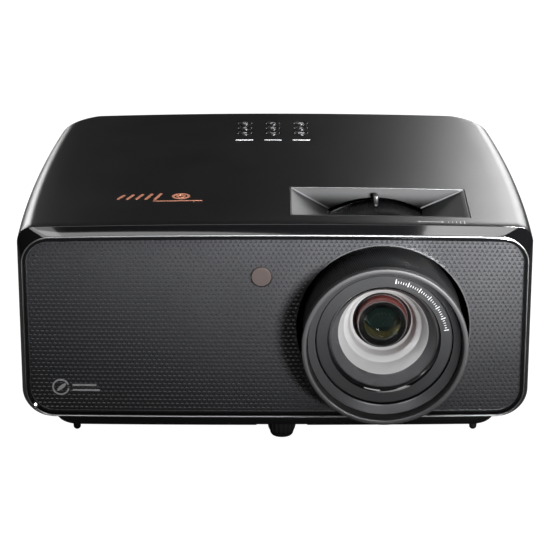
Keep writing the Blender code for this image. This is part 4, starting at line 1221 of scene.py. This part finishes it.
def make_front_lens():
    """The front element in its mount, whose tapered side carries a red-brown painted reflection, and the
    coated element and baffles behind it.
    """
    # The red-brown band is the nose's tapered side: a painted reflection.
    mount = [
        *band("cell_grey", (0.0155, 0.0104), (0.0157, 0.01)),
        *band("lens_edge_painted_reflection", (0.016, 0.01), (0.0162, 0.0105)),
        *band("black_metal", (0.017, 0.0198), (0.0207, 0.02), (0.0207, 0.0255)),
        *band("baffle_black_and_recess_shade", (0.015, 0.0275), (0.015, 0.026)),
    ]
    for i in range(6):
        radius, along = 0.015 - 0.0006 * i, 0.024 - 0.0022 * i
        mount += band("baffle_black_and_recess_shade", (radius, along), (radius + 0.0008, along - 0.0008))
    lathe("front_lens_mount", "glass", "lens", ["front_lens"], mount, 128)
    front = [(0, 0.0088), (0.004, 0.0089), (0.008, 0.0092), (0.012, 0.0096), (0.0155, 0.0102)]
    back = [(0.0155, 0.012), (0.011, 0.015), (0.006, 0.0165), (0, 0.017)]
    lathe("front_lens_glass", "glass", "lens", (), band("glass", *front, *back), 96)
    coated = [
        *band("lens_coating", (0, 0.02), (0.003, 0.0202), (0.0056, 0.0208)),
        (0.0076, 0.0218, "baffle_black_and_recess_shade"), *band("lens_amber", (0.0078, 0.0224), (0.0104, 0.0206)),
        *band("baffle_black_and_recess_shade", (0.0112, 0.0203), (0.015, 0.0215), (0.015, 0.0259), (0, 0.0259)),
    ]
    lathe("second_lens", "glass", "lens", (), coated, 96)


def make_zoom_ring():
    profile = [
        *band("black_metal", (0.0518, 0.064), (0.0584, 0.064), (0.059, 0.0643)),
        (0.06, 0.0655, "rib_black"),
        *band("black_metal", (0.06, 0.0925), (0.059, 0.0937), (0.0584, 0.094), (0.0518, 0.094)),
    ]
    lathe("zoom_ring_grip", "fan_black", "zoom", ["zoom_ring"], profile, ribs=300, depth=0.0006)
    low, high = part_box("zoom_lever")
    shape = Shape()
    shape.block(low, high, "black_metal", 0.0008, 3)
    shape.block((low.x + 0.0007, low.y - 0.00005, low.z + 0.0008),
                (high.x - 0.0007, low.y + 0.0003, high.z - 0.001), "rib_black", 0.0001)
    shape.block((low.x + 0.0008, low.y - 0.0001, low.z + 0.0004),
                (high.x - 0.0008, low.y + 0.0004, low.z + 0.0014), "white_print", 0.0001)
    shape.piece("zoom_lever_tab", "black_metal", "zoom", ["zoom_lever"])


def make_lens_surround():
    shroud = band("rubber", (0.0579, 0.009), (0.06, 0.009), (0.06, 0.03), (0.0579, 0.03))
    lathe("lens_shroud_sleeve", "rubber", "root", ["lens_shroud"], shroud)
    barrel = [(0.0515, 0.0242, "black_metal")]
    for along in (0.03, 0.038, 0.054):
        barrel += [
            (0.0515, along, "black_metal"), (0.0511, along + 0.0003, "baffle_black_and_recess_shade"),
            *band("black_metal", (0.0511, along + 0.0013), (0.0515, along + 0.0016)),
        ]
    barrel += band("black_metal", (0.0515, 0.112), (0.058, 0.112), (0.058, 0.118),
                   (0.044, 0.118), (0.044, 0.024), (0.0513, 0.024))
    lathe("lens_barrel_tube", "black_metal", "root", ["lens_barrel"], barrel)


# ---- Fans ------------------------------------------------------------------

def make_fans():
    for name, side in (("intake_fan", 1), ("exhaust_fan", -1)):
        low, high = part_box(f"{name}_frame")
        centre = (low + high) / 2
        shape = Shape()
        half = (high.y - low.y) / 2
        outer = rounded_rectangle(centre.y, centre.z, 2 * half, 2 * half, 0.004, 4)
        count = len(outer)
        bore = []
        for u, v in outer:
            angle = math.atan2(v - centre.z, u - centre.y)
            bore.append((centre.y + 0.0285 * math.cos(angle), centre.z + 0.0285 * math.sin(angle)))
        rows = [[(x, u, v) for u, v in outline] for outline, x in
                ((outer, low.x), (outer, high.x), (bore, high.x), (bore, low.x))]
        shape.grid(rows, "fan_black", along=True)
        inner_x = centre.x - side * 0.0064
        for i in range(4):
            turn = Matrix.Rotation(math.radians(45 + 90 * i), 4, "X")
            start = Vector((inner_x, centre.y, centre.z)) + turn @ Vector((0, 0.0215, 0))
            shape.block(start - Vector((0.0008, 0.0085, 0.0012)), start + Vector((0.0008, 0.0085, 0.0012)),
                        "fan_black", 0.0003, turn=turn)
        hub = [(0, -0.001), (0.0135, -0.001), (0.0135, 0.0008), (0, 0.0008)]
        shape.turn(band("fan_black", *hub), Vector((inner_x, centre.y, centre.z)), "X", 40)
        shape.piece(f"{name}_housing", "fan_black", replaces=[f"{name}_frame"])

        rotor_low, rotor_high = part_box(f"{name}_rotor")
        axis_place = Vector(((rotor_low.x + rotor_high.x) / 2, centre.y, centre.z))
        rotor = Shape()
        half_rotor = (rotor_high.x - rotor_low.x) / 2
        cap = [(0, -half_rotor), (0.0128, -half_rotor), (0.013, -half_rotor + 0.0004),
               (0.013, half_rotor - 0.0008), (0.0122, half_rotor), (0, half_rotor)]
        rotor.turn([(r, side * a, "fan_black") for r, a in cap], axis_place, "X", 48)
        badge = [(0, half_rotor - 0.0001), (0.009, half_rotor - 0.0001), (0.009, half_rotor + 0.00005),
                 (0, half_rotor + 0.00005)]
        rotor.turn([(r, side * a, "plate_grey") for r, a in badge], axis_place, "X", 40)
        for i in range(9):
            start = math.tau * i / 9
            rows = []
            for step in range(7):
                share = step / 6
                radius = 0.0126 + (0.0275 - 0.0126) * share
                sweep = start + 0.32 * share ** 1.4
                row = []
                for along, lead, thick in ((-1, -0.26, -0.02), (0, 0.0, -0.022), (1, 0.22, -0.02),
                                           (1, 0.22, 0.02), (0, 0.0, 0.022), (-1, -0.26, 0.02)):
                    angle = sweep + lead * (1 - 0.25 * share) + thick * 0.0126 / radius
                    reach = side * along * half_rotor * 0.92
                    row.append(axis_place + axis_point("X", radius, angle, reach))
                rows.append(row)
            rotor.grid(rows, "fan_black", caps=True)
        body = {"intake_fan": "intake_rotor", "exhaust_fan": "exhaust_rotor"}[name]
        rotor.piece(f"{name}_blades", "fan_black", body, [f"{name}_rotor"])


# ---- Feet ------------------------------------------------------------------

def make_feet():
    for name in ("front", "rear_left", "rear_right"):
        knob_low, knob_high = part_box(f"{name}_foot_knob")
        centre = Vector(((knob_low.x + knob_high.x) / 2, (knob_low.y + knob_high.y) / 2, 0.0))
        low, high = knob_low.z, FOOT_HEIGHT - 0.0005
        profile = [
            *band("dark_plastic", (0, low), (0.0078, low)),
            *band("rib_black", (0.0083, low + 0.0004), (0.0092, low + 0.0024)),
            *band("dark_plastic", (0.0103, high - 0.0026), (0.0106, high - 0.0014),
                  (0.0106, high - 0.0003), (0.0102, high)),
            *band("steel", (0.003, high), (0.003, 0.044), (0, 0.044)),
        ]
        lathe(f"{name}_foot_grip", "dark_plastic", f"{name}_knob", [f"{name}_foot_knob"], profile,
              centre=centre, axis="Z", ribs=18, depth=0.0007)
        outline = [(0, 0.0), (0.0062, 0.0), (0.0069, 0.0003), (0.0075, 0.001), (0.0079, 0.002),
                   (0.008, 0.0027), (0, 0.0027)]
        lathe(f"{name}_foot_sole", "rubber", f"{name}_pad", [f"{name}_foot_pad"], band("rubber", *outline),
              64, centre, "Z")
    for side in ("left", "right"):
        low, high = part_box(f"front_bumper_{side}")
        centre = Vector(((low.x + high.x) / 2, (low.y + high.y) / 2, 0.0))
        profile = [(0, low.z), (0.0008, low.z + 0.0001), (0.0017, low.z + 0.0006), (0.0023, low.z + 0.0014),
                   (0.0025, low.z + 0.0024), (0.0025, high.z), (0, high.z)]
        lathe(f"front_bumper_{side}_tip", "rubber", "root", [f"front_bumper_{side}"],
              band("rubber", *profile), 48, centre, "Z")


# ---- Inner pieces ----------------------------------------------------------

def dress_inner_nodes():
    """The inner pieces keep their CAD shapes, with procedural finishes."""
    slots = {row["node"]: row["material_slot"] for row in frame["record"]["subparts"]}
    for name, obj in frame["nodes"].items():
        if obj.hide_render:
            continue
        finish = slots[name]
        obj.data.materials.clear()
        obj.data.materials.append(material(finish))


# ---- Stage -----------------------------------------------------------------

def add_light(name, kind, place, target, power):
    light = bpy.data.lights.new(name, kind)
    light.energy = power
    obj = add_object(name, light)
    obj.location = place
    obj.rotation_euler = (Vector(target) - Vector(place)).to_track_quat("-Z", "Y").to_euler()
    return obj


def make_floor():
    """A pale floor that the camera sees as white, and that throws little light on the object."""
    floor = Shape()
    size = 6.0
    floor.grid([[(-size, -size, 0.0), (size, -size, 0.0)], [(-size, size, 0.0), (size, size, 0.0)]],
               "floor", around=False)
    obj = floor.object("floor")
    paint = bpy.data.materials.new("floor_paint")
    paint.use_nodes = True
    nodes, links = paint.node_tree.nodes, paint.node_tree.links
    shader = nodes["Principled BSDF"]
    shader.inputs["Base Color"].default_value = (0.1, 0.1, 0.1, 1.0)
    shader.inputs["Roughness"].default_value = 0.8
    shader.inputs["Emission Color"].default_value = (1.0, 1.0, 1.0, 1.0)
    rays = nodes.new("ShaderNodeLightPath")
    links.new(rays.outputs["Is Camera Ray"], shader.inputs["Emission Strength"])
    obj.data.materials.append(paint)


# Name, place, target, size and power in watts of each light card.
LIGHT_CARDS = (
    ("overhead", (-0.22, -0.98, 1.75), (0.05, -0.08, 0.09), (1.7, 0.6), 10.0),
    ("overhead_right", (0.62, -0.4, 1.6), (0.62, -0.4, 0.0), (0.7, 0.52), 6.5),
    ("overhead_left", (-0.62, -0.46, 1.6), (-0.62, -0.46, 0.0), (0.44, 0.4), 1.2),
    ("rear_right", (0.64, 1.6, 0.66), (0.08, 0.0, 0.15), (0.66, 0.9), 9.6),
    ("rear_left", (-0.93, 1.6, 0.62), (-0.1, 0.0, 0.15), (0.7, 0.7), 9.5),
)
WORLD_FILL = 0.014              # strength of the white surround, where the camera doesn't look at it


def make_lights():
    """Cards above and behind for the gloss of the top, and a wide, flat spot for the front."""
    for name, place, target, size, power in LIGHT_CARDS:
        card = add_light(name, "AREA", place, target, power).data
        card.shape = "RECTANGLE"
        card.size, card.size_y = size
    spot = add_light("front_spot", "SPOT", (0.5, -1.25, 0.36), (0.22, -0.12, 0.296), 690.0)
    spot.scale = (2.3, 1.0, 1.0)
    spot.data.spot_size = math.radians(20)
    spot.data.spot_blend = 1.0
    spot.data.shadow_soft_size = 0.15


def make_world():
    world = bpy.data.worlds.new("studio")
    bpy.context.scene.world = world
    world.use_nodes = True
    nodes, links = world.node_tree.nodes, world.node_tree.links
    background = nodes["Background"]
    background.inputs["Color"].default_value = (1.0, 1.0, 1.0, 1.0)
    rays = nodes.new("ShaderNodeLightPath")
    strength = add_node(nodes, "ShaderNodeMapRange", {"To Min": WORLD_FILL, "To Max": 1.0})
    links.new(rays.outputs["Is Camera Ray"], strength.inputs["Value"])
    links.new(strength.outputs["Result"], background.inputs["Strength"])
    bpy.context.scene.view_settings.view_transform = "Standard"


CAMERA_PLACE = (0.0, -1.5778, 0.6575)
CAMERA_TILT = 70                # degrees up from straight down
CAMERA_LENS = 156.7             # focal length in mm, on a sensor 36 mm wide


def make_camera():
    data = bpy.data.cameras.new("camera")
    data.sensor_width = 36.0
    data.lens = CAMERA_LENS
    data.clip_end = 50.0
    camera = add_object("camera", data)
    camera.location = CAMERA_PLACE
    camera.rotation_euler = (math.radians(CAMERA_TILT), 0.0, 0.0)
    bpy.context.scene.camera = camera


for make in (
    make_camera, make_top_cover, make_bottom_case, make_underside, make_front_bezel,
    make_front_panel, make_receiver_window, make_zoom_tray, make_side_grilles, make_rear_panel,
    make_ac_inlet, make_small_ports, make_lan_port, make_serial_port, make_audio_jack,
    make_top_marks, make_front_mark, make_keys, make_light_bars, make_focus_ring, make_lens_cell,
    make_trim_ring, make_funnel, make_front_lens, make_zoom_ring, make_lens_surround, make_fans,
    make_feet, dress_inner_nodes, make_floor, make_lights, make_world,
):
    make()
